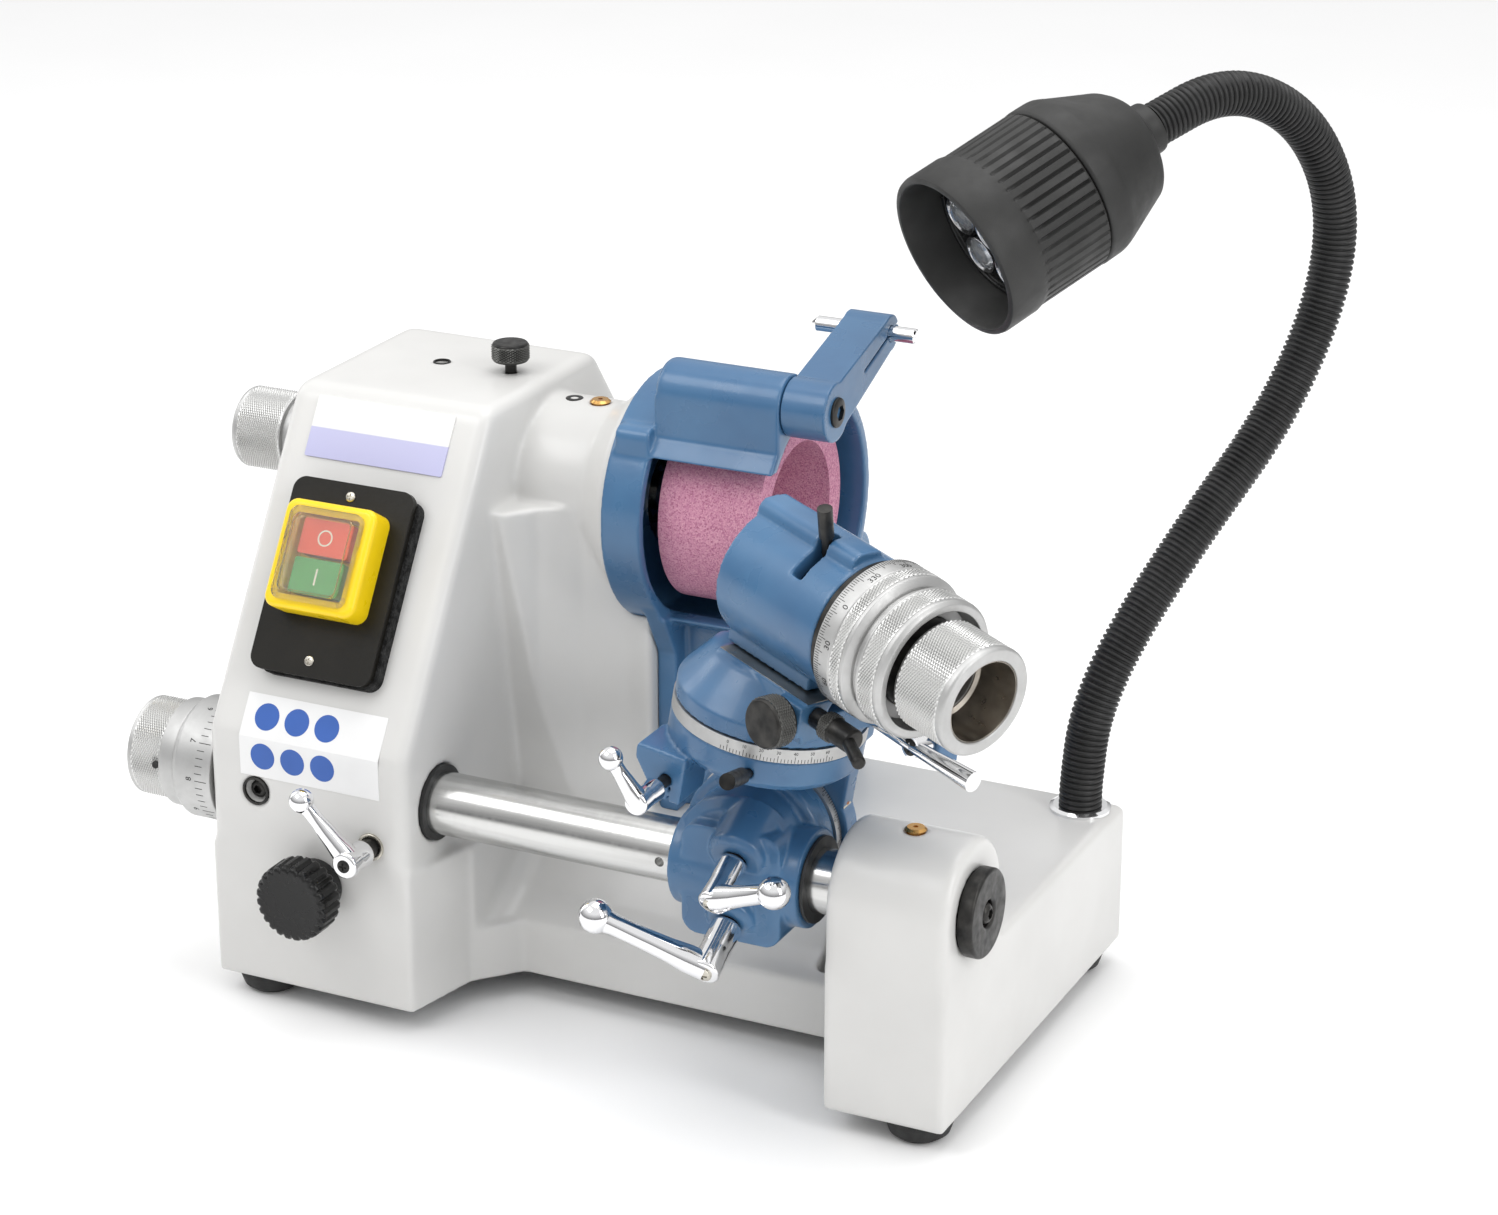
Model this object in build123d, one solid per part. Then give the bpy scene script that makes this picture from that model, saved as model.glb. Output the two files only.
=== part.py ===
from build123d import *
import math
import os

# Bench tool grinder: a cup wheel on a belt-driven spindle, a swivelling index head on a round guide
# bar, and a work lamp on a flexible neck.  Millimetres, +Z up, +Y to the back.
#
# The model is drawn with x = 0 on the right side of the base, y = 0 on its front and z = 0 on the
# bench, and is moved to the middle of its outline when it is written.

# ---- driving dimensions ------------------------------------------------------------------------
ORIGIN = (-200.77, 153.49, 0.0)   # middle of the whole outline, on the bench

BASE_LENGTH = 406.0
BASE_DEPTH = 240.0
FOOT_HEIGHT = 12.0
BASE_TOP = 89.0
WALL = 8.0

TOWER_RIGHT = -290.0
TOWER_TOP = 304.0
TOWER_FRONT_BEND = 148.0          # height where the tower's front starts to lean back
TOWER_TOP_FRONT = 96.0            # y of the tower's top front edge
PEDESTAL_LEFT = -63.0

SPINDLE_Y = 158.0
SPINDLE_Z = 252.0
SPINDLE_RADIUS = 10.0
QUILL_RADIUS = 24.0
DRUM_RADIUS = 43.0
WHEEL_RADIUS = 50.0
WHEEL_LEFT = -204.0
WHEEL_RIGHT = -150.0
GUARD_LEFT = -229.0
GUARD_RIGHT = -140.0
GUARD_RADIUS = 65.0
GUARD_NECK_LEFT = -216.0
GUARD_WALL = 6.0

BAR_Y = 33.0
BAR_Z = 116.5
BAR_RADIUS = 16.0
BUSH_RADIUS = 19.5
RUNNING = 0.05                    # radial clearance of a running fit
GAP = 0.4                         # clearance between parts that move past each other

TILT_X = -120.0                   # the head's tilting axis, along Y
TILT_Z = 125.0
TILT_RING_RADIUS = 38.0
BLOCK_BACK = 57.5                 # the tilting face of the clamp block
RING_DEPTH = 5.5
BLOCK_LEFT = -150.0
BLOCK_RIGHT = -81.0

HEAD_TILT = 10.0                  # stored setting of the tilting joint, degrees
HEAD_TURN = -23.0                 # stored setting of the turning joint, degrees
TURN_Y = 28.0                     # the turning axis crosses the tilting axis's plane here
TURN_SIDE = 2.9                   # the turning axis beside the tilting axis
TURN_HEIGHT = 82.6                # top of the turning scale above the tilting axis
HEAD_HEIGHT = 63.5                # work spindle's axis above that scale
HEAD_RADIUS = 33.5

NECK_RADIUS = 11.0
NECK_BASE = (-19.0, 224.0)
NECK_PLANE = 57.8                 # direction of the neck's plane from +X, degrees

SLOPE = math.degrees(math.atan2(TOWER_TOP - TOWER_FRONT_BEND, TOWER_TOP_FRONT))

X, Y, Z = (1, 0, 0), (0, 1, 0), (0, 0, 1)


# ---- helpers -----------------------------------------------------------------------------------
def rod(start, direction, radius, length):
    """A cylinder from start along direction."""
    return Plane(origin=start, z_dir=direction) * Pos(0, 0, length / 2) * Cylinder(radius, length)


def tube(start, direction, outer, inner, length):
    return rod(start, direction, outer, length) - rod(start, direction, inner, length)


def cone(start, direction, radius_start, radius_end, length):
    middle = Plane(origin=start, z_dir=direction) * Pos(0, 0, length / 2)
    return middle * Cone(radius_start, radius_end, length)


def box(x0, x1, y0, y1, z0, z1):
    return Pos((x0 + x1) / 2, (y0 + y1) / 2, (z0 + z1) / 2) * Box(x1 - x0, y1 - y0, z1 - z0)


def side_prism(outline, x0, x1):
    """Extrudes an outline of (y, z) points along X."""
    return extrude(Plane.YZ.offset(x0) * make_face(Polyline(*outline, close=True)), x1 - x0)


def plan_prism(outline, z0, z1):
    """Extrudes an outline of (x, y) points along Z."""
    return extrude(Plane.XY.offset(z0) * make_face(Polyline(*outline, close=True)), z1 - z0)


def turned(outline, origin, direction):
    """Turns an outline of (radius, distance along the axis) points about an axis."""
    frame = Plane(origin=origin, z_dir=direction)
    face = make_face(Polyline(*[(r, 0, h) for r, h in outline], close=True))
    return frame * revolve(face, Axis.Z)


def along(point, direction, distance):
    return tuple(p + d * distance for p, d in zip(point, direction))


# ---- frames ------------------------------------------------------------------------------------
def rotated(vector, axis, degrees):
    v = Vector(*vector).rotate(Axis((0, 0, 0), axis), degrees)
    return (v.X, v.Y, v.Z)


TILT_POINT = (TILT_X, 0.0, TILT_Z)
UP = rotated(Z, Y, HEAD_TILT)                            # the turning axis
ACROSS = rotated(X, Y, HEAD_TILT)
AXIS_OUT = rotated(ACROSS, UP, HEAD_TURN)                # the work spindle's axis, towards the operator
TO_FRONT = rotated(rotated((0, -1, 0), Y, HEAD_TILT), UP, HEAD_TURN)
TURN_CENTRE = along(along((TILT_X, TURN_Y, TILT_Z), UP, TURN_HEIGHT), ACROSS, TURN_SIDE)


def head_point(s, k, n):
    """A point s along the work spindle, k towards the front and n above the turning scale."""
    return tuple(c + s * a + k * f + n * u for c, a, f, u in zip(TURN_CENTRE, AXIS_OUT, TO_FRONT, UP))


HEAD_AXIS = head_point(0, 0, HEAD_HEIGHT)
ARM_FRAME = Plane(origin=TILT_POINT, x_dir=ACROSS, z_dir=UP)
HEAD_FRAME = Plane(origin=TURN_CENTRE, x_dir=AXIS_OUT, z_dir=UP)   # local -y is towards the front


def arm_box(a0, a1, y0, y1, n0, n1):
    """A box in the tilting bracket's frame."""
    return ARM_FRAME * box(a0, a1, y0, y1, n0, n1)


def head_box(s0, s1, k0, k1, n0, n1):
    """A box in the head's frame, with k towards the front."""
    return HEAD_FRAME * box(s0, s1, -k1, -k0, n0, n1)


def spindle_point(x):
    return (x, SPINDLE_Y, SPINDLE_Z)


def bar_point(x):
    return (x, BAR_Y, BAR_Z)


SLOPE_OUT = (0, -math.sin(math.radians(SLOPE)), math.cos(math.radians(SLOPE)))
SLOPE_UP = (0, math.cos(math.radians(SLOPE)), math.sin(math.radians(SLOPE)))
SLOPE_FRAME = Plane(origin=(0, 0, TOWER_FRONT_BEND), x_dir=X, z_dir=SLOPE_OUT)


def slope_box(x0, x1, up0, up1, out0, out1, corner=0.0):
    """A plate on the tower's sloping front, measured up the slope and out of it."""
    plate = box(x0, x1, up0, up1, out0, out1)
    if corner:
        plate = fillet(plate.edges().filter_by(Axis.Z), corner)
    return SLOPE_FRAME * plate


# ---- base --------------------------------------------------------------------------------------
def base_outline(inset):
    """The base in plan: two pedestals with a recess between them."""
    left, right = -BASE_LENGTH + inset, -inset
    return [(left, inset), (TOWER_RIGHT - inset, inset), (-281 - inset, 44 + inset), (-262, 66 + inset),
            (-88, 66 + inset), (-74 + inset, 58 + inset), (PEDESTAL_LEFT + inset, 30 + inset),
            (PEDESTAL_LEFT + inset, inset), (right, inset), (right, BASE_DEPTH - inset),
            (left, BASE_DEPTH - inset)]


def tower_outline(inset, bottom):
    """The tower seen from the side."""
    lean = inset * 0.7
    return [(inset, bottom), (inset, TOWER_FRONT_BEND + inset), (TOWER_TOP_FRONT + lean, TOWER_TOP - inset),
            (208 - lean, TOWER_TOP - inset), (BASE_DEPTH - inset, 262 - lean), (BASE_DEPTH - inset, bottom)]


def tower():
    face = make_face(Polyline(*tower_outline(0, FOOT_HEIGHT), close=True))
    face = fillet(face.vertices().sort_by(Axis.Y).sort_by(Axis.Z)[2:], 13)
    body = extrude(Plane.YZ.offset(-BASE_LENGTH) * face, BASE_LENGTH + TOWER_RIGHT)
    sides = [e for e in body.edges() if e.bounding_box().size.X < 1 and e.center().Z > FOOT_HEIGHT + 1]
    return fillet(sides, 7)


def low_base():
    body = plan_prism(base_outline(0), FOOT_HEIGHT, BASE_TOP)
    tops = body.edges().filter_by(lambda e: e.center().Z > BASE_TOP - 1 and e.center().Y > 70)
    body = fillet(tops, 5)
    scoop = side_prism([(40, 42), (66, 42), (84, 52), (104, 72), (128, BASE_TOP + 12), (40, BASE_TOP + 12)],
                       -279, PEDESTAL_LEFT - 4)
    corner = scoop.edges().filter_by(lambda e: e.center().X < -270 and 66 < e.center().Y and e.length < 50)
    scoop = fillet(corner, 12)
    return body - scoop


def right_pedestal():
    """An upright with a rounded top that carries the bar's right end."""
    radius = 35.0
    upright = box(PEDESTAL_LEFT, 0, 0, 2 * radius, FOOT_HEIGHT, BAR_Z)
    crown = rod((PEDESTAL_LEFT, radius, BAR_Z), X, radius, -PEDESTAL_LEFT)
    post = upright + crown
    ends = [e for e in post.edges() if e.bounding_box().size.X < 1 and e.center().Z > BASE_TOP]
    return fillet(ends, 4.5)


def drum():
    """The spindle housing that runs from the tower to the wheel guard, and the wall under it."""
    body = rod(spindle_point(TOWER_RIGHT - 6), X, DRUM_RADIUS, GUARD_LEFT - TOWER_RIGHT + 6)
    flange = turned([(0, 0), (DRUM_RADIUS, 0), (47, 6), (56, 16), (56, 22), (0, 22)],
                    spindle_point(GUARD_LEFT - 22), X)
    web = plan_prism([(TOWER_RIGHT - 4, 84), (-283, 92), (-272, 106), (-252, 117), (GUARD_LEFT, 122),
                      (GUARD_LEFT, 232), (TOWER_RIGHT - 4, 232)], BASE_TOP - 10, SPINDLE_Z)
    lean = side_prism([(116, BASE_TOP - 10), (BASE_DEPTH - 4, BASE_TOP - 10), (BASE_DEPTH - 4, SPINDLE_Z),
                       (90, SPINDLE_Z)], TOWER_RIGHT - 4, GUARD_LEFT)
    heel = box(GUARD_LEFT - 1, GUARD_NECK_LEFT, 122, 232, BASE_TOP - 10, SPINDLE_Z - 20)
    heel -= rod(spindle_point(GUARD_LEFT - 0.1), X, GUARD_RADIUS + 0.1, 30)
    return body + flange + (web & lean) + heel


OILERS = ((-31, 35, BAR_Z + 35), (-262, SPINDLE_Y, SPINDLE_Z + DRUM_RADIUS))


def base_casting():
    body = low_base() + tower() + right_pedestal() + drum()
    body -= plan_prism(base_outline(WALL), FOOT_HEIGHT - 1, BASE_TOP - WALL) - box(
        -285, -100, 40, 128, BASE_TOP - 60, BASE_TOP)
    body -= side_prism(tower_outline(WALL, FOOT_HEIGHT + 2), -BASE_LENGTH + WALL, TOWER_RIGHT - WALL)
    body += rod(spindle_point(-BASE_LENGTH + WALL - 1), X, 20, 14)
    body += rod(bar_point(-BASE_LENGTH + WALL - 1), X, 27, BASE_LENGTH + TOWER_RIGHT - 2 * WALL + 2)
    body -= rod(spindle_point(TOWER_RIGHT - WALL - 4), X, QUILL_RADIUS + RUNNING, 80)
    body -= rod(spindle_point(-BASE_LENGTH - 2), X, 8 + RUNNING, 30)
    body -= rod(bar_point(-BASE_LENGTH - 2), X, BUSH_RADIUS, BASE_LENGTH + TOWER_RIGHT + 12)
    body -= rod(bar_point(PEDESTAL_LEFT - 2), X, BUSH_RADIUS, -PEDESTAL_LEFT + 4)
    body -= rod((-311, -1, 101), Y, 5.05, 30)            # screw of the tower's clamp lever
    body -= rod((-342, -1, 75), Y, 6.05, 14)             # stem of the fluted knob
    body -= rod((-378, -1, 118.5), Y, 7.0, 7)            # counterbore of a clamping screw
    body -= rod((-314, SPINDLE_Y, SPINDLE_Z + 26), Z, 3.05, 40)
    body -= rod((*NECK_BASE, BASE_TOP - 20), Z, 4.0, 30)
    body -= rod((-355, SPINDLE_Y, 280), Z, 4, 30)        # lifting hole in the tower's top
    body -= box(-345, -305, 236, 241, 30, 60)            # seat of the cable inlet
    for x, y, z in OILERS:
        body -= rod((x, y, z - 6), Z, 4.5, 10)
    body -= rod((-325, 225, 45), Y, 8.0, 20)
    return body


def bottom_cover():
    plate = plan_prism(base_outline(WALL + 1), FOOT_HEIGHT, FOOT_HEIGHT + 2)
    for x, y in ((-380, 30), (-30, 30), (-380, 215), (-30, 215), (-200, 215), (-200, 90)):
        plate -= rod((x, y, FOOT_HEIGHT - 1), Z, 2.4, 4)
    return plate


def rubber_feet():
    """Four domed rubber feet."""
    profile = [(0, 0), (11, 0), (15, 3), (17, 9), (17, FOOT_HEIGHT), (0, FOOT_HEIGHT)]
    return [turned(profile, (x, y, 0), Z) for x in (-386, -20) for y in (20, 220)]


def bar_bushes():
    left = tube(bar_point(TOWER_RIGHT - 60), X, BUSH_RADIUS, BAR_RADIUS + RUNNING, 61.5)
    right = tube(bar_point(PEDESTAL_LEFT - 0.5), X, BUSH_RADIUS, BAR_RADIUS + RUNNING, 62)
    return [left, right]


def oil_cups():
    """Brass oilers pressed into the right pedestal and the drum."""
    cups = []
    for x, y, z in OILERS:
        cups.append(turned([(0, -5), (4.5, -5), (4.5, 0.4), (5.5, 0.4), (4.2, 1.6), (1.2, 1.6), (1.2, 0.6),
                            (0, 0.6)], (x, y, z), Z))
    return cups


def cable_inlet():
    body = box(-344.8, -305.2, 236.2, 242, 30.2, 59.8)
    collar = tube((-325, 242, 45), Y, 8, 4, 10)
    return body - rod((-325, 234, 45), Y, 4, 12) + collar


# ---- switch ------------------------------------------------------------------------------------
SWITCH_X = -350.0


def switch_gasket():
    return slope_box(SWITCH_X - 31, SWITCH_X + 37, 33, 131, 0, 6, 7)


def switch_plate():
    return slope_box(SWITCH_X - 35, SWITCH_X + 35, 34, 134, 6, 10, 7)


def switch_housing():
    """The yellow box, open in the middle for the two buttons."""
    shell = slope_box(SWITCH_X - 27, SWITCH_X + 25, 64, 120, 10, 26, 6)
    shell = fillet(shell.edges().group_by(Axis((0, 0, 0), SLOPE_OUT))[-1], 3)
    return shell - slope_box(SWITCH_X - 19.5, SWITCH_X + 17.5, 71, 113, 12, 30, 2)


def switch_button(up0, up1):
    return slope_box(SWITCH_X - 15, SWITCH_X + 13, up0, up1, 15, 24, 1.2)


def switch_membrane():
    """The clear splash cover over the buttons."""
    outer = slope_box(SWITCH_X - 22, SWITCH_X + 20, 68, 116, 26, 28.4, 5)
    dome = slope_box(SWITCH_X - 18, SWITCH_X + 16, 72, 112, 26, 31, 4)
    inner = slope_box(SWITCH_X - 16.8, SWITCH_X + 14.8, 73.2, 110.8, 25, 29.8, 3)
    return outer + dome - inner


def name_plate():
    return slope_box(-389, -309, 146, 178, 0, 0.8, 1)


# ---- drive -------------------------------------------------------------------------------------
PULLEY_X = -322.0
MOTOR_Y, MOTOR_Z = 150.0, 80.0


def motor():
    body = rod((-394, MOTOR_Y, MOTOR_Z), X, 52, 62)
    foot = box(-390, -336, MOTOR_Y - 34, MOTOR_Y + 34, FOOT_HEIGHT + 2, MOTOR_Z - 30)
    return body + foot - rod((-396, MOTOR_Y, MOTOR_Z), X, 6 + RUNNING, 70)


def motor_rotor():
    """The motor's shaft with its flat-belt pulley."""
    shaft = rod((-392, MOTOR_Y, MOTOR_Z), X, 6, 88)
    pulley = tube((PULLEY_X - 7, MOTOR_Y, MOTOR_Z), X, 34, 6, 14)
    return [shaft, pulley]


def drive_belt():
    """A flat belt round the two pulleys, clear of both by the thickness of its slip."""
    def loop(extra):
        path = [((MOTOR_Y, MOTOR_Z), 34 + extra), ((SPINDLE_Y, SPINDLE_Z), 19 + extra)]
        (y1, z1), r1 = path[0]
        (y2, z2), r2 = path[1]
        reach = math.hypot(y2 - y1, z2 - z1)
        lean = math.atan2(z2 - z1, y2 - y1)
        spread = math.acos((r1 - r2) / reach)
        points = []
        for side in (1, -1):
            a = lean + side * spread
            points.append(((y1 + r1 * math.cos(a), z1 + r1 * math.sin(a)),
                           (y2 + r2 * math.cos(a), z2 + r2 * math.sin(a))))
        (a1, a2), (b1, b2) = points
        strip = side_prism([a1, a2, b2, b1], PULLEY_X - 6, PULLEY_X + 6)
        ends = [rod((PULLEY_X - 6, y, z), X, r, 12) for (y, z), r in path]
        return strip + ends[0] + ends[1]
    return loop(GAP + 1.8) - loop(GAP)


def quill():
    """The sleeve that carries the spindle and slides in the drum."""
    return tube(spindle_point(-299), X, QUILL_RADIUS, SPINDLE_RADIUS + 6, 73)


def spindle_bearings():
    rings = []
    for x in (-297, -244):
        rings.append(tube(spindle_point(x), X, SPINDLE_RADIUS + 6, SPINDLE_RADIUS + RUNNING, 14))
    return rings


def spindle_shaft():
    body = rod(spindle_point(-334), X, SPINDLE_RADIUS, 334 - 187)
    body += rod(spindle_point(-222), X, 17, 15)
    return body + rod(spindle_point(-188), X, 7, 12) + rod(spindle_point(-176.5), X, 11, 5)


def spindle_pulley():
    return tube(spindle_point(PULLEY_X - 8), X, 19, SPINDLE_RADIUS, 16)


def grinding_wheel():
    """A cup wheel, open to the right."""
    body = rod(spindle_point(WHEEL_LEFT), X, WHEEL_RADIUS, WHEEL_RIGHT - WHEEL_LEFT)
    body -= cone(spindle_point(WHEEL_LEFT + 14), X, 33, 37, WHEEL_RIGHT - WHEEL_LEFT - 14 + 0.01)
    return body - rod(spindle_point(WHEEL_LEFT - 1), X, SPINDLE_RADIUS, 20)


def wheel_flange():
    return tube(spindle_point(WHEEL_LEFT + 14), X, 26, SPINDLE_RADIUS, 4)


# ---- guard and dresser -------------------------------------------------------------------------
DRESSER_Y, DRESSER_Z = 128.0, 318.6


def wheel_guard():
    shell = rod(spindle_point(GUARD_LEFT), X, GUARD_RADIUS, GUARD_RIGHT - GUARD_LEFT)
    neck = side_prism([(129, BASE_TOP), (129, 176), (112, 206), (100, 226), (222, 226), (238, 190),
                       (238, BASE_TOP)], GUARD_NECK_LEFT, -205)
    neck = fillet(neck.edges().filter_by(Axis.X).filter_by(lambda e: e.center().Z > 170), 10)
    column_face = make_face(Polyline((140, BASE_TOP), (140, 200), (200, 236), (240, 215), (240, BASE_TOP),
                                     close=True))
    column_face = fillet(column_face.vertices().sort_by(Axis.Z)[3:5], 16)
    column = extrude(Plane.YZ.offset(-212) * column_face, 66)
    boss = rod((-208, DRESSER_Y, DRESSER_Z), X, 16, 68)
    skirt = box(-208, GUARD_RIGHT, 112, 138, 289, DRESSER_Z)
    shoulder = box(-226, -207, 104, 140, 282, 303)
    shoulder = fillet(shoulder.edges().filter_by(Axis.X).filter_by(lambda e: e.center().Z > 300), 6)
    boss = fillet(boss.edges().filter_by(lambda e: e.center().X < -207), 4)
    body = shell + neck + column + boss + skirt + shoulder
    inside = rod(spindle_point(GUARD_LEFT + 7), X, GUARD_RADIUS - GUARD_WALL, 200)
    window = box(-207, GUARD_RIGHT + 1, 60, SPINDLE_Y - 20, 199, 289)
    window += side_prism([(60, 199), (126, 199), (138, 214), (138, 289), (60, 289)], -207, GUARD_RIGHT + 1)
    body = body - inside - window
    body -= box(-205, -153, 147, 232, BASE_TOP - 1, 180)
    body -= rod(spindle_point(GUARD_LEFT - 1), X, QUILL_RADIUS + RUNNING, 20)
    return body - rod((-165, DRESSER_Y, DRESSER_Z), X, 4.05, 24)


def dresser_arm():
    """The arm that swings the diamond past the wheel, split at its tip to grip the holder."""
    tip_y, tip_z = 193.0, 341.0
    left, right = GUARD_RIGHT + 0.6, -116.0
    hub = rod((left, DRESSER_Y, DRESSER_Z), X, 15, right - left)
    end = rod((left, tip_y, tip_z), X, 9.5, right - left)
    reach = math.hypot(tip_y - DRESSER_Y, tip_z - DRESSER_Z)
    lean = math.degrees(math.atan2(tip_z - DRESSER_Z, tip_y - DRESSER_Y))
    bar_frame = Plane(origin=(left, DRESSER_Y, DRESSER_Z), x_dir=rotated(Y, X, lean), z_dir=X)
    web = bar_frame * plan_prism([(0, -13), (reach, -9), (reach, 9), (0, 13)], 0, right - left)
    slot = bar_frame * box(reach - 34, reach + 12, -0.6, 0.6, -1, right - left + 1)
    body = hub + end + web - slot - rod((left - 1, tip_y, tip_z), X, 4 + RUNNING, 40)
    pivot = rod((-163, DRESSER_Y, DRESSER_Z), X, 4, 22)
    return body + pivot


def dresser_pin():
    body = rod((-156, 193, 341), X, 4, 54)
    body = chamfer(body.edges().filter_by(lambda e: e.center().X > -105), 0.8)
    return body + cone((-159, 193, 341), X, 1.2, 4, 3)


# ---- controls on the tower ---------------------------------------------------------------------
def upper_dial_grip():
    grip = turned([(0, 0), (20, 0), (22, 2), (22, 30), (19, 30), (19, 34), (0, 34)], spindle_point(-474), X)
    return grip + rod(spindle_point(-442), X, 8, 90)


def upper_dial_ring():
    return turned([(8 + RUNNING, 0), (22, 0), (24, 1), (24, 30), (8 + RUNNING, 30)], spindle_point(-437), X)


def lower_dial_grip():
    grip = turned([(0, 0), (24, 0), (26, 2), (26, 21), (29, 22), (29, 31), (0, 31)], bar_point(-462), X)
    return grip + rod(bar_point(-432), X, 10, 60)


def lower_dial_ring():
    return turned([(10 + RUNNING, 0), (30, 0), (32, 3), (32, 24), (10 + RUNNING, 24)], bar_point(-430.5), X)


def crank(hub_start, hub_axis, hub_radius, hub_length, arm_start, ball, ball_radius, stem, stem_radius):
    """A clamp lever: a round hub on its stem, and a tapering arm that ends in a ball."""
    hub = rod(hub_start, hub_axis, hub_radius, hub_length)
    reach = Vector(*ball) - Vector(*arm_start)
    arm = cone(arm_start, tuple(reach), hub_radius * 0.72, ball_radius * 0.62, reach.length)
    end = Plane(origin=ball, z_dir=tuple(reach)) * Sphere(ball_radius)
    back = tuple(-a for a in hub_axis)
    return hub + arm + end + rod(hub_start, back, stem_radius, stem)


def tower_lock_lever():
    return crank((-311, -7, 101), (0, -1, 0), 7, 19, (-311, -19, 101), (-335, -24, 131), 6.3, 16, 5)


def fluted_knob():
    body = rod((-342, -29, 75), Y, 20.5, 17) + rod((-342, -13, 75), Y, 14, 12)
    for i in range(24):
        a = math.radians(15 * i)
        body -= rod((-342 + 21.3 * math.cos(a), -27, 75 + 21.3 * math.sin(a)), Y, 1.5, 20)
    return body + rod((-342, -2, 75), Y, 6, 14)


def thumb_screw():
    head = turned([(0, 0), (9.5, 0), (10, 1), (10, 9), (9, 10), (0, 10)],
                  (-314, SPINDLE_Y, TOWER_TOP + 6), Z)
    return head + rod((-314, SPINDLE_Y, SPINDLE_Z + 30), Z, 3, TOWER_TOP - SPINDLE_Z - 22)


# ---- guide bar and clamp block -----------------------------------------------------------------
def guide_bar():
    body = rod(bar_point(-368), X, BAR_RADIUS, 368.6)
    return body - rod(bar_point(-369), X, 10.5, 40) - rod((-158, BAR_Y - 17, BAR_Z), Y, 2.5, 6)


def bar_end_cap():
    cap = turned([(0, 0), (22, 0), (22, 6.5), (21, 7.5), (6, 7.5), (6, 3), (0, 3)], bar_point(0.6), X)
    screw = turned([(0, 0), (5, 0), (5, 5), (2.2, 5), (2.2, 1.5), (0, 1.5)], bar_point(3.6), X)
    return [cap, screw]


def clamp_bush():
    flange = tube(bar_point(BLOCK_RIGHT + GAP), X, 21.5, BAR_RADIUS + RUNNING, 1.6)
    return flange + tube(bar_point(BLOCK_LEFT - 1), X, BUSH_RADIUS, BAR_RADIUS + RUNNING,
                         BLOCK_RIGHT - BLOCK_LEFT + 1 + GAP)


STUD_TILT = 27.0
STUD_DOWN = (0, -math.cos(math.radians(STUD_TILT)), -math.sin(math.radians(STUD_TILT)))
UPPER_STUD = (-112.0, 8.0, 132.0)
LOWER_STUD = (-115.5, 8.0, 98.0)


def clamp_block():
    """Clamps on the bar, carries the tilting face at its back and the bosses of two clamp studs."""
    around_bar = rod(bar_point(BLOCK_LEFT), X, BLOCK_BACK - BAR_Y, BLOCK_RIGHT - BLOCK_LEFT)
    nose = box(-143, -90, 10, 32, 86, 144)
    nose = fillet(nose.edges().filter_by(Axis.Y), 9)
    body = around_bar + nose
    for stud, radius in ((UPPER_STUD, 15), (LOWER_STUD, 13)):
        boss = rod(along(stud, STUD_DOWN, -26), STUD_DOWN, radius, 28)
        body += chamfer(boss.edges().group_by(Axis((0, 0, 0), STUD_DOWN))[-1], 2.5)
    shoulder = rod((TILT_X, 18, TILT_Z), Y, 31, 26)
    shoulder = chamfer(shoulder.edges().group_by(Axis.Y)[0], 5)
    disc = rod((TILT_X, 42, TILT_Z), Y, TILT_RING_RADIUS - 1, BLOCK_BACK - 42)
    body += shoulder + chamfer(disc.edges().group_by(Axis.Y)[0], 2)
    body -= rod(bar_point(BLOCK_LEFT - 20), X, BUSH_RADIUS, 120)
    for stud in (UPPER_STUD, LOWER_STUD):
        body -= rod(along(stud, STUD_DOWN, -10), STUD_DOWN, 5.05, 16)
    return body


def tilt_scale_ring():
    ring = rod((TILT_X, BLOCK_BACK, TILT_Z), Y, TILT_RING_RADIUS, RING_DEPTH)
    return ring - rod((TILT_X, BLOCK_BACK - 1, TILT_Z), Y, 12, RING_DEPTH + 2)


def tilt_lock_lever():
    hub = along(UPPER_STUD, STUD_DOWN, 3)
    tip = along(UPPER_STUD, STUD_DOWN, 26)
    return crank(hub, STUD_DOWN, 7.5, 27, tip, (-78, -22, 133), 8, 12, 5)


def bar_lock_lever():
    hub = along(LOWER_STUD, STUD_DOWN, 3)
    tip = along(LOWER_STUD, STUD_DOWN, 29)
    return crank(hub, STUD_DOWN, 8, 30, tip, (-167, -32, 107), 8.5, 12, 5)


# ---- tilting bracket ---------------------------------------------------------------------------
PLATE_FRONT = BLOCK_BACK + RING_DEPTH + GAP
PLATE_BACK = PLATE_FRONT + 13.0
FOOT_TOP = TURN_HEIGHT - 7.0            # the turning scale ring is 7 thick
SWIVEL_STUD = (-137.0, 177.0)           # x and z of the swivel clamp's stud
SWIVEL_PIN_AXIS = (0.1, -0.95, 0.25)


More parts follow.
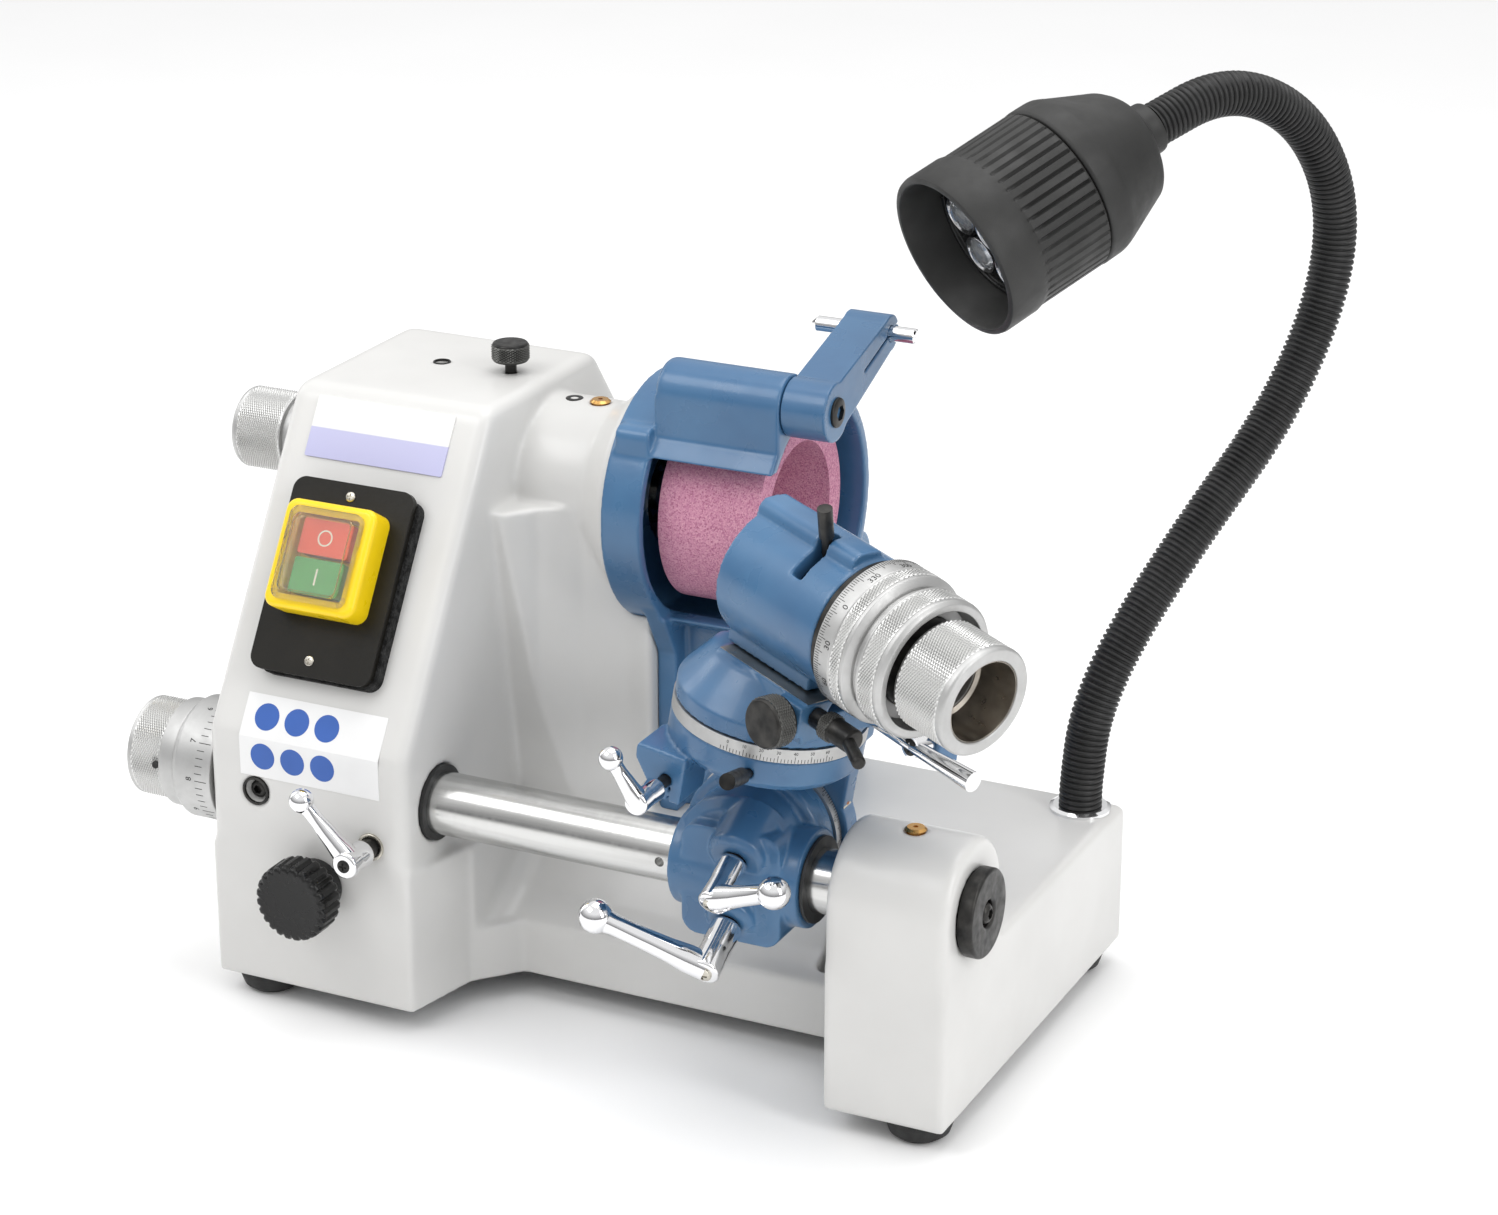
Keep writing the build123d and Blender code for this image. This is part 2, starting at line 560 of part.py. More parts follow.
def tilt_bracket():
    """A round plate behind the clamp block with an arm reaching forward over it."""
    plate = rod((TILT_X, PLATE_FRONT, TILT_Z), Y, TILT_RING_RADIUS + 3, PLATE_BACK - PLATE_FRONT)
    plate -= arm_box(-50, 50, PLATE_FRONT - 1, PLATE_BACK + 1, -50, -31)
    upright = arm_box(-32, 35, PLATE_FRONT, PLATE_BACK, 0, FOOT_TOP - 10)
    arm = arm_box(TURN_SIDE - 36, TURN_SIDE + 36, TURN_Y, PLATE_BACK, FOOT_TOP - 17, FOOT_TOP)
    foot = ARM_FRAME * Pos(TURN_SIDE, TURN_Y, FOOT_TOP - 8.5) * Cylinder(47, 17)
    foot = chamfer(foot.edges().group_by(Axis((0, 0, 0), UP))[0], 5)
    lug_face = make_face(Polyline((-43, 62), (-43, 55), (-30, 38), (-17, 38), (-17, 62), close=True))
    lug = ARM_FRAME * extrude(Plane.XZ.offset(-10) * lug_face, 27)
    body = plate + upright + arm + foot + lug
    body -= arm_box(-24, -22.5, -18, 12, 37, 46)
    body -= rod(along(swivel_pin_seat(), SWIVEL_PIN_AXIS, -8), SWIVEL_PIN_AXIS, 2.25, 14)
    return body - rod((SWIVEL_STUD[0], -18, SWIVEL_STUD[1]), Y, 3.05, 20)


def swivel_pin_seat():
    """Where the turning scale's locking pin leaves the front of the bracket's foot."""
    seat = ARM_FRAME * Pos(TURN_SIDE + 12, TURN_Y - 45.4, FOOT_TOP - 8)
    return tuple(seat.position)


def swivel_scale_ring():
    return ARM_FRAME * Pos(TURN_SIDE, TURN_Y, FOOT_TOP + 3.5) * Cylinder(47, 7)


def swivel_lock_lever():
    x, z = SWIVEL_STUD
    return crank((x, -27, z), (0, -1, 0), 6, 21, (x, -44, z), (x - 11, -50, z + 22), 5.8, 22, 3)


def swivel_pin():
    seat = swivel_pin_seat()
    stem = rod(along(seat, SWIVEL_PIN_AXIS, -7), SWIVEL_PIN_AXIS, 2.2, 17)
    return stem + rod(along(seat, SWIVEL_PIN_AXIS, 9), SWIVEL_PIN_AXIS, 4, 20)


STOP = (22, 22)                 # the slide's stop screw: towards the front, above the turning scale


def turntable():
    disc = HEAD_FRAME * Pos(0, 0, 4.4) * Cylinder(46.5, 8)
    dome = HEAD_FRAME * Pos(0, 0, 18.4) * Cone(46.5, 31, 20)
    dome = fillet(dome.edges().group_by(Axis((0, 0, 0), UP))[-1], 9)
    block = head_box(-14, 50, -28, 28, 8, 29)
    lug = head_box(30, 84, -42, -28, 1, 20)
    pad = head_box(34, 50, 28, 32, 12, 28)
    body = disc + dome + block + lug + pad
    groove = HEAD_FRAME * extrude(
        Plane.YZ.offset(-60) * make_face(Polyline((-10.4, 29.5), (-14.4, 21.6), (14.4, 21.6), (10.4, 29.5),
                                                  close=True)), 130)
    body -= groove
    body -= rod(head_point(43, 20, 20.5), TO_FRONT, 3.05, 30)
    body -= rod(head_point(30, *STOP), AXIS_OUT, 3.05, 30)
    return body - rod(head_point(76, -44, 10.5), TO_FRONT, 3.05, 30)


def feed_knob():
    body = turned([(0, 0), (12, 0), (12.5, 0.6), (12.5, 11), (11.5, 12), (0, 12)],
                  head_point(43, 37, 20.5), TO_FRONT)
    return body + rod(head_point(43, 26.5, 20.5), TO_FRONT, 3, 12) + rod(head_point(43, 32.4, 20.5), TO_FRONT, 6, 5)


def stop_screw():
    body = rod(head_point(38, *STOP), AXIS_OUT, 3, 26) + rod(head_point(50.5, *STOP), AXIS_OUT, 5, 5)
    body += rod(head_point(57.5, *STOP), AXIS_OUT, 7, 7) + rod(head_point(64, *STOP), AXIS_OUT, 6, 13)
    return body + rod(head_point(71, *STOP), rotated(AXIS_OUT, UP, -28), 3.2, 26)


def slide_lock_lever():
    """A double-ended chrome lever on the back lug of the turntable."""
    hub = head_point(76, -27.6, 10.5)
    body = rod(hub, TO_FRONT, 5.6, 11) + rod(hub, tuple(-a for a in TO_FRONT), 3, 12)
    middle = head_point(76, -19, 10.5)
    body += cone(middle, rotated(AXIS_OUT, TO_FRONT, 2), 3.4, 5.0, 40)
    return body + cone(middle, rotated(AXIS_OUT, TO_FRONT, 176), 3.4, 4.4, 24)


# ---- index head --------------------------------------------------------------------------------
def head_ring(outline):
    return turned(outline, HEAD_AXIS, AXIS_OUT)


def head_body():
    shell = rod(along(HEAD_AXIS, AXIS_OUT, -17), AXIS_OUT, HEAD_RADIUS, 67)
    rib_frame = Plane(origin=HEAD_AXIS, x_dir=AXIS_OUT, z_dir=UP)
    rib = rib_frame * Pos(15, -4, 27) * Box(66, 20, 22)
    rib = fillet(rib.edges().filter_by(lambda e: e.length > 60), 6)
    foot = head_box(-17, 40, -20, 20, 29.5, 44)
    tail = HEAD_FRAME * extrude(
        Plane.YZ.offset(-17) * make_face(Polyline((-9.2, 31), (-13.8, 22), (13.8, 22), (9.2, 31), close=True)), 57)
    body = shell + rib + foot + tail
    body -= rod(along(HEAD_AXIS, AXIS_OUT, -40), AXIS_OUT, 24 + RUNNING, 100)
    slot = rod(along(HEAD_AXIS, AXIS_OUT, 23), AXIS_OUT, 46, 7)
    slot -= rod(along(HEAD_AXIS, AXIS_OUT, 22), AXIS_OUT, 20, 9)
    sector = rib_frame * side_prism([(0, 0), (-60, 45), (-60, 60), (-8, 60)], 22, 31)
    return body - (slot & sector)


def work_spindle():
    """The hollow spindle that turns in the head, with the black ring at its front."""
    return head_ring([(11, -22), (24, -22), (24, 51), (34, 51), (34, 55), (22, 55), (22, 97), (11, 97)])


def index_dial():
    """The graduated dial and its two knurled rings."""
    return head_ring([(22 + RUNNING, 55.4), (36, 55.4), (37, 56), (37, 75), (33, 77), (31.5, 77), (31.5, 81),
                      (34.5, 81), (34.5, 95), (33, 97), (29.5, 97), (28.6, 86), (22 + RUNNING, 86)])


def draw_sleeve():
    """The knurled sleeve that draws the collet closed."""
    return head_ring([(16, 97.4), (26.6, 97.4), (26.6, 128), (25.4, 129.5), (20.6, 129.5), (19, 106), (16, 106)])


def collet():
    body = head_ring([(4, -28), (13, -28), (11 - RUNNING, -22.6), (11 - RUNNING, 92), (8, 92), (8, 12), (4, 6)])
    return body - head_box(-33, 2, -0.5, 0.5, HEAD_HEIGHT, HEAD_HEIGHT + 20)


def index_lever():
    lean = rotated(UP, AXIS_OUT, 17)
    foot = along(along(HEAD_AXIS, AXIS_OUT, 26.5), lean, 26)
    return rod(foot, lean, 2.6, 15) + rod(along(foot, lean, 13.5), lean, 3.6, 15.5)


# ---- lamp --------------------------------------------------------------------------------------
NECK_OUT = (math.cos(math.radians(NECK_PLANE)), math.sin(math.radians(NECK_PLANE)), 0.0)
NECK_PATH = [(0, 103), (4, 140), (24, 178), (66, 228), (120, 284), (150, 345), (151, 398), (122, 442),
             (74, 461), (24, 444)]      # distance out of the base in the neck's plane, height
LAMP_DROP = 22.8                       # the lamp points this far below level, degrees


def neck_point(out, height):
    return (NECK_BASE[0] + NECK_OUT[0] * out, NECK_BASE[1] + NECK_OUT[1] * out, height)


LAMP_START = neck_point(*NECK_PATH[-1])
LAMP_OUT = (-NECK_OUT[0] * math.cos(math.radians(LAMP_DROP)),
            -NECK_OUT[1] * math.cos(math.radians(LAMP_DROP)), -math.sin(math.radians(LAMP_DROP)))


def lamp_ring(outline):
    return turned(outline, LAMP_START, LAMP_OUT)


def lamp_housing():
    shell = lamp_ring([(0, -5), (13, -5), (14, 2), (15, 8), (30, 12), (42, 42), (43, 58), (38, 58), (36, 44),
                       (26, 20), (0, 16)])
    back = (path_vector(8) - path_vector(9)).normalized()
    return shell - Pos(path_vector(9)) * Sphere(7 + GAP) - cone(LAMP_START, tuple(back), 0.5, 13, 13)


def lamp_barrel():
    return lamp_ring([(38.2, 58), (43, 58), (42.5, 98), (43.5, 101), (43.5, 119), (42, 121), (39.5, 121),
                      (38.2, 92), (36, 88), (36, 84), (38.2, 84)])


def lamp_lens():
    return lamp_ring([(0, 76), (38.1, 76), (38.1, 83.9), (0, 83.9)])


def path_vector(index):
    return Vector(*neck_point(*NECK_PATH[index]))


def neck_run(first, last, trim_start, trim_end):
    """The neck between two points of its path, as straight runs joined by arcs."""
    points = [path_vector(i) for i in range(first, last + 1)]
    points[0] += (points[1] - points[0]).normalized() * trim_start
    points[-1] += (points[-2] - points[-1]).normalized() * trim_end
    radii = []
    for a, b, c in zip(points, points[1:], points[2:]):
        turn = math.radians((b - a).get_angle(c - b))
        radii.append(0.45 * min((b - a).length, (c - b).length) / math.tan(turn / 2))
    path = FilletPolyline(*points, radius=radii)
    start = Plane(origin=points[0], z_dir=points[1] - points[0])
    core = sweep(start * Circle(NECK_RADIUS), path=path)
    print("neck bend radii", [round(r) for r in radii], "volume over section times length",
          round(core.volume / (math.pi * NECK_RADIUS ** 2 * path.length), 4))
    return core


def ball_end(index, direction):
    """A ball on a thin stalk, at a point of the path."""
    centre = path_vector(index)
    return Pos(centre) * Sphere(7) + rod(tuple(centre), tuple(direction), 3.5, 14)


def socket_end(index, direction):
    """A round socket about the ball of the piece before it, open in the given direction."""
    centre = path_vector(index)
    shell = Pos(centre) * Sphere(NECK_RADIUS) - Pos(centre) * Sphere(7 + GAP)
    shell -= cone(tuple(centre), tuple(direction), 0.5, 13, 13)
    return shell


def neck_segment(first, last):
    """One length of the neck: a socket at its start and a ball at its end."""
    start_run = (path_vector(first + 1) - path_vector(first)).normalized()
    end_run = (path_vector(last - 1) - path_vector(last)).normalized()
    before = path_vector(first) - start_run if first == 0 else path_vector(first - 1)
    opening = (before - path_vector(first)).normalized()
    return (neck_run(first, last, 9, 13) + socket_end(first, opening) + ball_end(last, end_run))


def neck_lower():
    return neck_segment(0, 3)


def neck_middle():
    return neck_segment(3, 6)


def neck_upper():
    return neck_segment(6, 9)


def lamp_socket():
    """The washer on the base's top and the ball stud that the neck stands on."""
    washer = turned([(4, 0), (16, 0), (16, 1.5), (14, 2.5), (4, 2.5)], (*NECK_BASE, BASE_TOP), Z)
    stud = rod((*NECK_BASE, BASE_TOP - 10), Z, 4, NECK_PATH[0][1] - BASE_TOP + 10)
    return washer + stud + Pos(path_vector(0)) * Sphere(7)


PARTS = [
    base_casting, bottom_cover, rubber_feet, wheel_guard, bar_bushes, oil_cups, cable_inlet,
    switch_gasket, switch_plate, switch_housing, switch_membrane, name_plate, lamp_socket,
    motor, motor_rotor, drive_belt, quill, spindle_bearings, spindle_shaft, spindle_pulley,
    grinding_wheel, wheel_flange, dresser_arm, dresser_pin,
    upper_dial_grip, upper_dial_ring, lower_dial_grip, lower_dial_ring,
    tower_lock_lever, fluted_knob, thumb_screw,
    guide_bar, bar_end_cap, clamp_bush, clamp_block, tilt_scale_ring, tilt_lock_lever, bar_lock_lever,
    tilt_bracket, swivel_scale_ring, swivel_lock_lever, swivel_pin,
    turntable, feed_knob, stop_screw, slide_lock_lever,
    head_body, work_spindle, index_dial, draw_sleeve, collet, index_lever,
    neck_lower, neck_middle, neck_upper, lamp_housing, lamp_barrel, lamp_lens,
]


def solids_of(shape):
    """The separate solids of a sub-part, as one list."""
    shapes = shape if isinstance(shape, (list, ShapeList)) else [shape]
    return [solid for item in shapes for solid in item.solids()]


def write(name, shape):
    moved = [solid.moved(Location((-ORIGIN[0], -ORIGIN[1], -ORIGIN[2]))) for solid in solids_of(shape)]
    body = moved[0] if len(moved) == 1 else Compound(children=moved)
    export_step(body, os.path.join("parts", name + ".step"))
    return body.bounding_box()


def main():
    os.makedirs("parts", exist_ok=True)
    boxes = [write(build.__name__, build()) for build in PARTS]
    boxes.append(write("stop_button", switch_button(93, 111)))
    boxes.append(write("start_button", switch_button(73, 91)))
    low = [min(tuple(b.min)[i] for b in boxes) for i in range(3)]
    high = [max(tuple(b.max)[i] for b in boxes) for i in range(3)]
    print("outline", [round(v, 2) for v in low], [round(v, 2) for v in high])


main()
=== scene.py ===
import bmesh
import bpy
import math
from mathutils import Matrix, Vector


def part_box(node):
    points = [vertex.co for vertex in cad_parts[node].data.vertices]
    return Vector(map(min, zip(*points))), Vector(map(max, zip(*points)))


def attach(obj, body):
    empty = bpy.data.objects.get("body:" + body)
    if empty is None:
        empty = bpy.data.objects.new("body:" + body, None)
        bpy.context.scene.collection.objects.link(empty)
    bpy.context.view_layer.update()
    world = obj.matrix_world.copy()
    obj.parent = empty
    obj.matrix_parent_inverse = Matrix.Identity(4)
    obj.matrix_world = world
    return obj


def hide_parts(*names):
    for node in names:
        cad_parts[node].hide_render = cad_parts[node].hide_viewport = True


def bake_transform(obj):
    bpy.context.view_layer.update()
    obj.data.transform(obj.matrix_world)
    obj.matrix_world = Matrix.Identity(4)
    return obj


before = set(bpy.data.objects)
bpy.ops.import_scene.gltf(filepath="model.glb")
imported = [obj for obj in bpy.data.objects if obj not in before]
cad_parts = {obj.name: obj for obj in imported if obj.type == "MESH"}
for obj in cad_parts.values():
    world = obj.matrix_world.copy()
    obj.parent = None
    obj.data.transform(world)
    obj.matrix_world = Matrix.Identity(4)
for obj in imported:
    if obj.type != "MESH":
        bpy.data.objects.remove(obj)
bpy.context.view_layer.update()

# ---- the frame's own coordinates --------------------------------------------------------------
# Shapes are drawn in millimetres from the base's front right corner on the bench, as the CAD is,
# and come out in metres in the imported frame.
MM = 0.001
BASE_LOW, BASE_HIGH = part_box("base_casting")
CORNER = Vector((BASE_HIGH.x, BASE_LOW.y, 0.0))
X, Y, Z = Vector((1, 0, 0)), Vector((0, 1, 0)), Vector((0, 0, 1))
COLLECTION = bpy.context.scene.collection

TILT_POINT = Vector((-120.0, 0.0, 125.0))
HEAD_TILT, HEAD_TURN = math.radians(10), math.radians(-23)
UP = Matrix.Rotation(HEAD_TILT, 3, Y) @ Z
ACROSS = Matrix.Rotation(HEAD_TILT, 3, Y) @ X
AXIS_OUT = Matrix.Rotation(HEAD_TURN, 3, UP) @ ACROSS
TO_FRONT = Matrix.Rotation(HEAD_TURN, 3, UP) @ (Matrix.Rotation(HEAD_TILT, 3, Y) @ -Y)
TURN_CENTRE = TILT_POINT + Y * 28.0 + UP * 82.6 + ACROSS * 2.9
HEAD_AXIS = TURN_CENTRE + UP * 63.5
SLOPE = math.atan2(304 - 148, 96)
SLOPE_OUT = Vector((0, -math.sin(SLOPE), math.cos(SLOPE)))
SLOPE_UP = Vector((0, math.cos(SLOPE), math.sin(SLOPE)))
STUD_DOWN = Vector((0, -math.cos(math.radians(27)), -math.sin(math.radians(27))))
SPINDLE = Vector((0, 158, 252))
BAR = Vector((0, 33, 116.5))
SWITCH_X, STOP_UP, START_UP = -351, 102, 82


def placed(point):
    return CORNER + Vector(point) * MM


def head_point(s, k, n):
    """A point s along the index head's axis, k to the front and n above the turning scale."""
    return TURN_CENTRE + AXIS_OUT * s + TO_FRONT * k + UP * n


def slope_point(x, up, out):
    """A point on the tower's sloping front."""
    return Vector((x, 0, 148)) + SLOPE_UP * up + SLOPE_OUT * out


def drum_frame(origin, axis, zero):
    """Cylinder coordinates about an axis: radius, angle from the zero direction, distance along."""
    along = Vector(axis).normalized()
    start = (Vector(zero) - along * along.dot(Vector(zero))).normalized()
    side = along.cross(start)
    origin = Vector(origin)

    def point(radius, angle, distance):
        return origin + along * distance + (start * math.cos(angle) + side * math.sin(angle)) * radius
    return point


# ---- material nodes ---------------------------------------------------------------------------
def new_material(name, color, roughness, metallic=0.0, **sockets):
    """A Principled material; extra sockets are set by name with _ for a space."""
    mat = bpy.data.materials.new(name)
    mat.use_nodes = True
    shader = mat.node_tree.nodes["Principled BSDF"]
    shader.inputs["Base Color"].default_value = (*color, 1)
    shader.inputs["Roughness"].default_value = roughness
    shader.inputs["Metallic"].default_value = metallic
    for key, value in sockets.items():
        shader.inputs[key.replace("_", " ")].default_value = value
    return mat


def add_node(mat, kind, **inputs):
    node = mat.node_tree.nodes.new(kind)
    for key, value in inputs.items():
        node.inputs[key.replace("_", " ")].default_value = value
    return node


def shader_of(mat):
    return mat.node_tree.nodes["Principled BSDF"]


def link(mat, a, b):
    mat.node_tree.links.new(a, b)


def stretched(mat, scale):
    """Object coordinates scaled by an (x, y, z) stretch."""
    coord = add_node(mat, "ShaderNodeTexCoord")
    mapping = add_node(mat, "ShaderNodeMapping", Scale=scale)
    link(mat, coord.outputs["Object"], mapping.inputs["Vector"])
    return mapping.outputs["Vector"]


def noise_of(mat, scale, detail=3.0, rough=0.5, stretch=(1, 1, 1)):
    node = add_node(mat, "ShaderNodeTexNoise", Scale=scale, Detail=detail, Roughness=rough)
    link(mat, stretched(mat, stretch), node.inputs["Vector"])
    return node.outputs["Fac"]


def ramp(mat, value, *stops):
    """A colour ramp; stops are (position, (r, g, b))."""
    node = add_node(mat, "ShaderNodeValToRGB")
    elements = node.color_ramp.elements
    while len(elements) < len(stops):
        elements.new(0.5)
    for element, (position, color) in zip(elements, stops):
        element.position = position
        element.color = (*color, 1)
    link(mat, value, node.inputs["Fac"])
    return node.outputs["Color"]


def vary_color(mat, value, low, high, start=0.35, end=0.65):
    link(mat, ramp(mat, value, (start, low), (end, high)), shader_of(mat).inputs["Base Color"])


def vary_roughness(mat, value, low, high):
    node = add_node(mat, "ShaderNodeMapRange")
    node.inputs["From Min"].default_value = 0.3
    node.inputs["From Max"].default_value = 0.7
    node.inputs["To Min"].default_value = low
    node.inputs["To Max"].default_value = high
    link(mat, value, node.inputs["Value"])
    link(mat, node.outputs["Result"], shader_of(mat).inputs["Roughness"])


def add_bump(mat, value, height, strength=1.0):
    """Adds a bump of a height in millimetres over the ones already there."""
    node = add_node(mat, "ShaderNodeBump", Strength=strength, Distance=height * MM)
    link(mat, value, node.inputs["Height"])
    normal = shader_of(mat).inputs["Normal"]
    if normal.links:
        link(mat, normal.links[0].from_socket, node.inputs["Normal"])
    link(mat, node.outputs["Normal"], normal)


# ---- materials --------------------------------------------------------------------------------
def make_paint():
    mat = new_material("grey_enamel", (0.64, 0.635, 0.62), 0.34, Coat_Weight=0.2, Coat_Roughness=0.18)
    vary_color(mat, noise_of(mat, 9, 4), (0.61, 0.605, 0.59), (0.67, 0.665, 0.65))
    vary_roughness(mat, noise_of(mat, 40, 3), 0.28, 0.42)
    add_bump(mat, noise_of(mat, 28, 2), 0.35, 0.5)
    add_bump(mat, noise_of(mat, 420, 2), 0.04, 0.5)
    return mat


def make_blue():
    mat = new_material("blue_enamel", (0.055, 0.16, 0.33), 0.3, Coat_Weight=0.25, Coat_Roughness=0.14)
    vary_color(mat, noise_of(mat, 22, 4), (0.046, 0.130, 0.262), (0.060, 0.165, 0.315))
    vary_roughness(mat, noise_of(mat, 60, 3), 0.24, 0.4)
    add_bump(mat, noise_of(mat, 55, 3), 0.5, 0.45)
    add_bump(mat, noise_of(mat, 380, 2), 0.05, 0.5)
    return mat


def make_abrasive():
    mat = new_material("pink_abrasive", (0.62, 0.25, 0.36), 0.85, Specular_IOR_Level=0.3)
    cells = add_node(mat, "ShaderNodeTexVoronoi", Scale=1500)
    link(mat, stretched(mat, (1, 1, 1)), cells.inputs["Vector"])
    grains = ramp(mat, cells.outputs["Color"], (0.05, (0.40, 0.13, 0.22)), (0.4, (0.60, 0.25, 0.37)),
                  (0.85, (0.72, 0.38, 0.48)))
    patches = ramp(mat, noise_of(mat, 30, 3), (0.3, (0.9, 0.88, 0.9)), (0.7, (1, 1, 1)))
    mix = add_node(mat, "ShaderNodeMix")
    mix.data_type = "RGBA"
    mix.blend_type = "MULTIPLY"
    mix.inputs["Factor"].default_value = 1.0
    link(mat, grains, mix.inputs[6])
    link(mat, patches, mix.inputs[7])
    link(mat, mix.outputs[2], shader_of(mat).inputs["Base Color"])
    add_bump(mat, cells.outputs["Distance"], 0.2, 0.8)
    add_bump(mat, noise_of(mat, 900, 4, 0.7), 0.12, 0.7)
    return mat


def make_ground_steel():
    """Ground round bar: fine rings across X, and colour streaks along X that are painted lengthwise reflections."""
    mat = new_material("ground_steel", (0.6, 0.6, 0.59), 0.24, 1.0, Anisotropic=0.4)
    vary_roughness(mat, noise_of(mat, 60, 4, 0.6, (6, 1, 1)), 0.16, 0.26)
    # Colour noise stretched long along X: painted reflection bands along the bar.
    vary_color(mat, noise_of(mat, 60, 3, 0.5, (0.15, 4, 4)), (0.50, 0.50, 0.49), (0.64, 0.64, 0.63))
    add_bump(mat, noise_of(mat, 200, 3, 0.6, (5, 1, 1)), 0.004, 0.5)
    return mat


def make_chrome():
    mat = new_material("bright_chrome", (0.84, 0.84, 0.85), 0.06, 1.0)
    vary_roughness(mat, noise_of(mat, 90, 3), 0.035, 0.12)
    add_bump(mat, noise_of(mat, 45, 2), 0.3, 0.35)
    return mat


def make_satin():
    mat = new_material("satin_chrome", (0.52, 0.52, 0.515), 0.5, 1.0)
    vary_color(mat, noise_of(mat, 50, 3), (0.50, 0.50, 0.495), (0.56, 0.56, 0.555))
    vary_roughness(mat, noise_of(mat, 300, 3), 0.45, 0.56)
    add_bump(mat, noise_of(mat, 900, 2), 0.015, 0.5)
    return mat


def make_knurl(name, low, high, roughness):
    """Knurled metal: the colour darkens where the surface is hollow, painted shade in the valleys between the tips."""
    mat = new_material(name, high, roughness, 1.0)
    geometry = add_node(mat, "ShaderNodeNewGeometry")
    # Pointiness turns the valleys dark: painted shade.
    link(mat, ramp(mat, geometry.outputs["Pointiness"], (0.44, low), (0.54, high)),
         shader_of(mat).inputs["Base Color"])
    add_bump(mat, noise_of(mat, 900, 2), 0.01, 0.4)
    return mat


def make_warm_steel():
    mat = new_material("warm_steel", (0.40, 0.36, 0.31), 0.34, 1.0)
    vary_color(mat, noise_of(mat, 60, 4), (0.33, 0.30, 0.26), (0.47, 0.43, 0.38))
    vary_roughness(mat, noise_of(mat, 200, 3), 0.26, 0.45)
    return mat


def make_black_steel():
    mat = new_material("black_oxide", (0.028, 0.028, 0.028), 0.38, 0.7)
    vary_color(mat, noise_of(mat, 120, 4), (0.018, 0.018, 0.018), (0.05, 0.048, 0.045))
    vary_roughness(mat, noise_of(mat, 260, 3), 0.28, 0.5)
    add_bump(mat, noise_of(mat, 500, 2), 0.02, 0.5)
    return mat


def make_lamp_plastic():
    mat = new_material("lamp_plastic", (0.022, 0.022, 0.021), 0.45, Specular_IOR_Level=0.4)
    vary_color(mat, noise_of(mat, 18, 4), (0.016, 0.016, 0.0155), (0.028, 0.028, 0.027))
    vary_roughness(mat, noise_of(mat, 90, 2), 0.42, 0.58)
    add_bump(mat, noise_of(mat, 1500, 2, 0.7), 0.07, 0.8)
    return mat


def make_gloss_black():
    mat = new_material("gloss_black", (0.010, 0.010, 0.010), 0.25, Specular_IOR_Level=0.3)
    vary_roughness(mat, noise_of(mat, 120, 3), 0.18, 0.34)
    add_bump(mat, noise_of(mat, 260, 2), 0.03, 0.4)
    return mat


def make_hose():
    mat = new_material("hose_sleeve", (0.014, 0.014, 0.014), 0.36, Specular_IOR_Level=0.4)
    vary_color(mat, noise_of(mat, 70, 3), (0.009, 0.009, 0.009), (0.018, 0.018, 0.018))
    vary_roughness(mat, noise_of(mat, 240, 3), 0.34, 0.52)
    return mat


def make_foam():
    mat = new_material("black_foam", (0.016, 0.016, 0.016), 0.95, Specular_IOR_Level=0.25)
    cells = add_node(mat, "ShaderNodeTexVoronoi", Scale=700)
    link(mat, stretched(mat, (1, 1, 1)), cells.inputs["Vector"])
    add_bump(mat, cells.outputs["Distance"], 0.9, 1.0)
    vary_color(mat, noise_of(mat, 300, 4), (0.008, 0.008, 0.008), (0.035, 0.035, 0.035))
    return mat


def make_plain(name, color, roughness, fine=300, height=0.03, spread=0.06, **sockets):
    """A moulded or coated surface with a little variation and a fine texture."""
    mat = new_material(name, color, roughness, **sockets)
    low = tuple(c * (1 - spread) for c in color)
    high = tuple(min(1, c * (1 + spread)) for c in color)
    vary_color(mat, noise_of(mat, 35, 3), low, high)
    vary_roughness(mat, noise_of(mat, fine * 0.5, 3), roughness * 0.85, roughness * 1.2)
    add_bump(mat, noise_of(mat, fine, 2), height, 0.6)
    return mat


def make_clear(name, tint, roughness):
    mat = new_material(name, tint, roughness, Transmission_Weight=0.92, IOR=1.45)
    add_bump(mat, noise_of(mat, 60, 2), 0.03, 0.3)
    return mat


def make_belt():
    mat = new_material("flat_belt", (0.03, 0.03, 0.03), 0.7)
    add_bump(mat, noise_of(mat, 60, 2, 0.5, (30, 1, 1)), 0.1, 0.6)
    return mat


def make_name_plate():
    """Printed plate: white above, a lavender band below, split level across the slope."""
    mat = new_material("name_plate_print", (0.8, 0.8, 0.8), 0.3, Coat_Weight=0.3)
    low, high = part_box("name_plate")
    coord = add_node(mat, "ShaderNodeTexCoord")
    split = add_node(mat, "ShaderNodeSeparateXYZ")
    link(mat, coord.outputs["Object"], split.inputs["Vector"])
    span = add_node(mat, "ShaderNodeMapRange")
    span.inputs["From Min"].default_value = low.z
    span.inputs["From Max"].default_value = high.z
    link(mat, split.outputs["Z"], span.inputs["Value"])
    colors = ramp(mat, span.outputs["Result"], (0.0, (0.47, 0.47, 0.70)), (0.485, (0.50, 0.50, 0.72)),
                  (0.50, (0.80, 0.80, 0.79)), (1.0, (0.84, 0.84, 0.83)))
    link(mat, colors, shader_of(mat).inputs["Base Color"])
    add_bump(mat, noise_of(mat, 200, 2), 0.01, 0.5)
    return mat


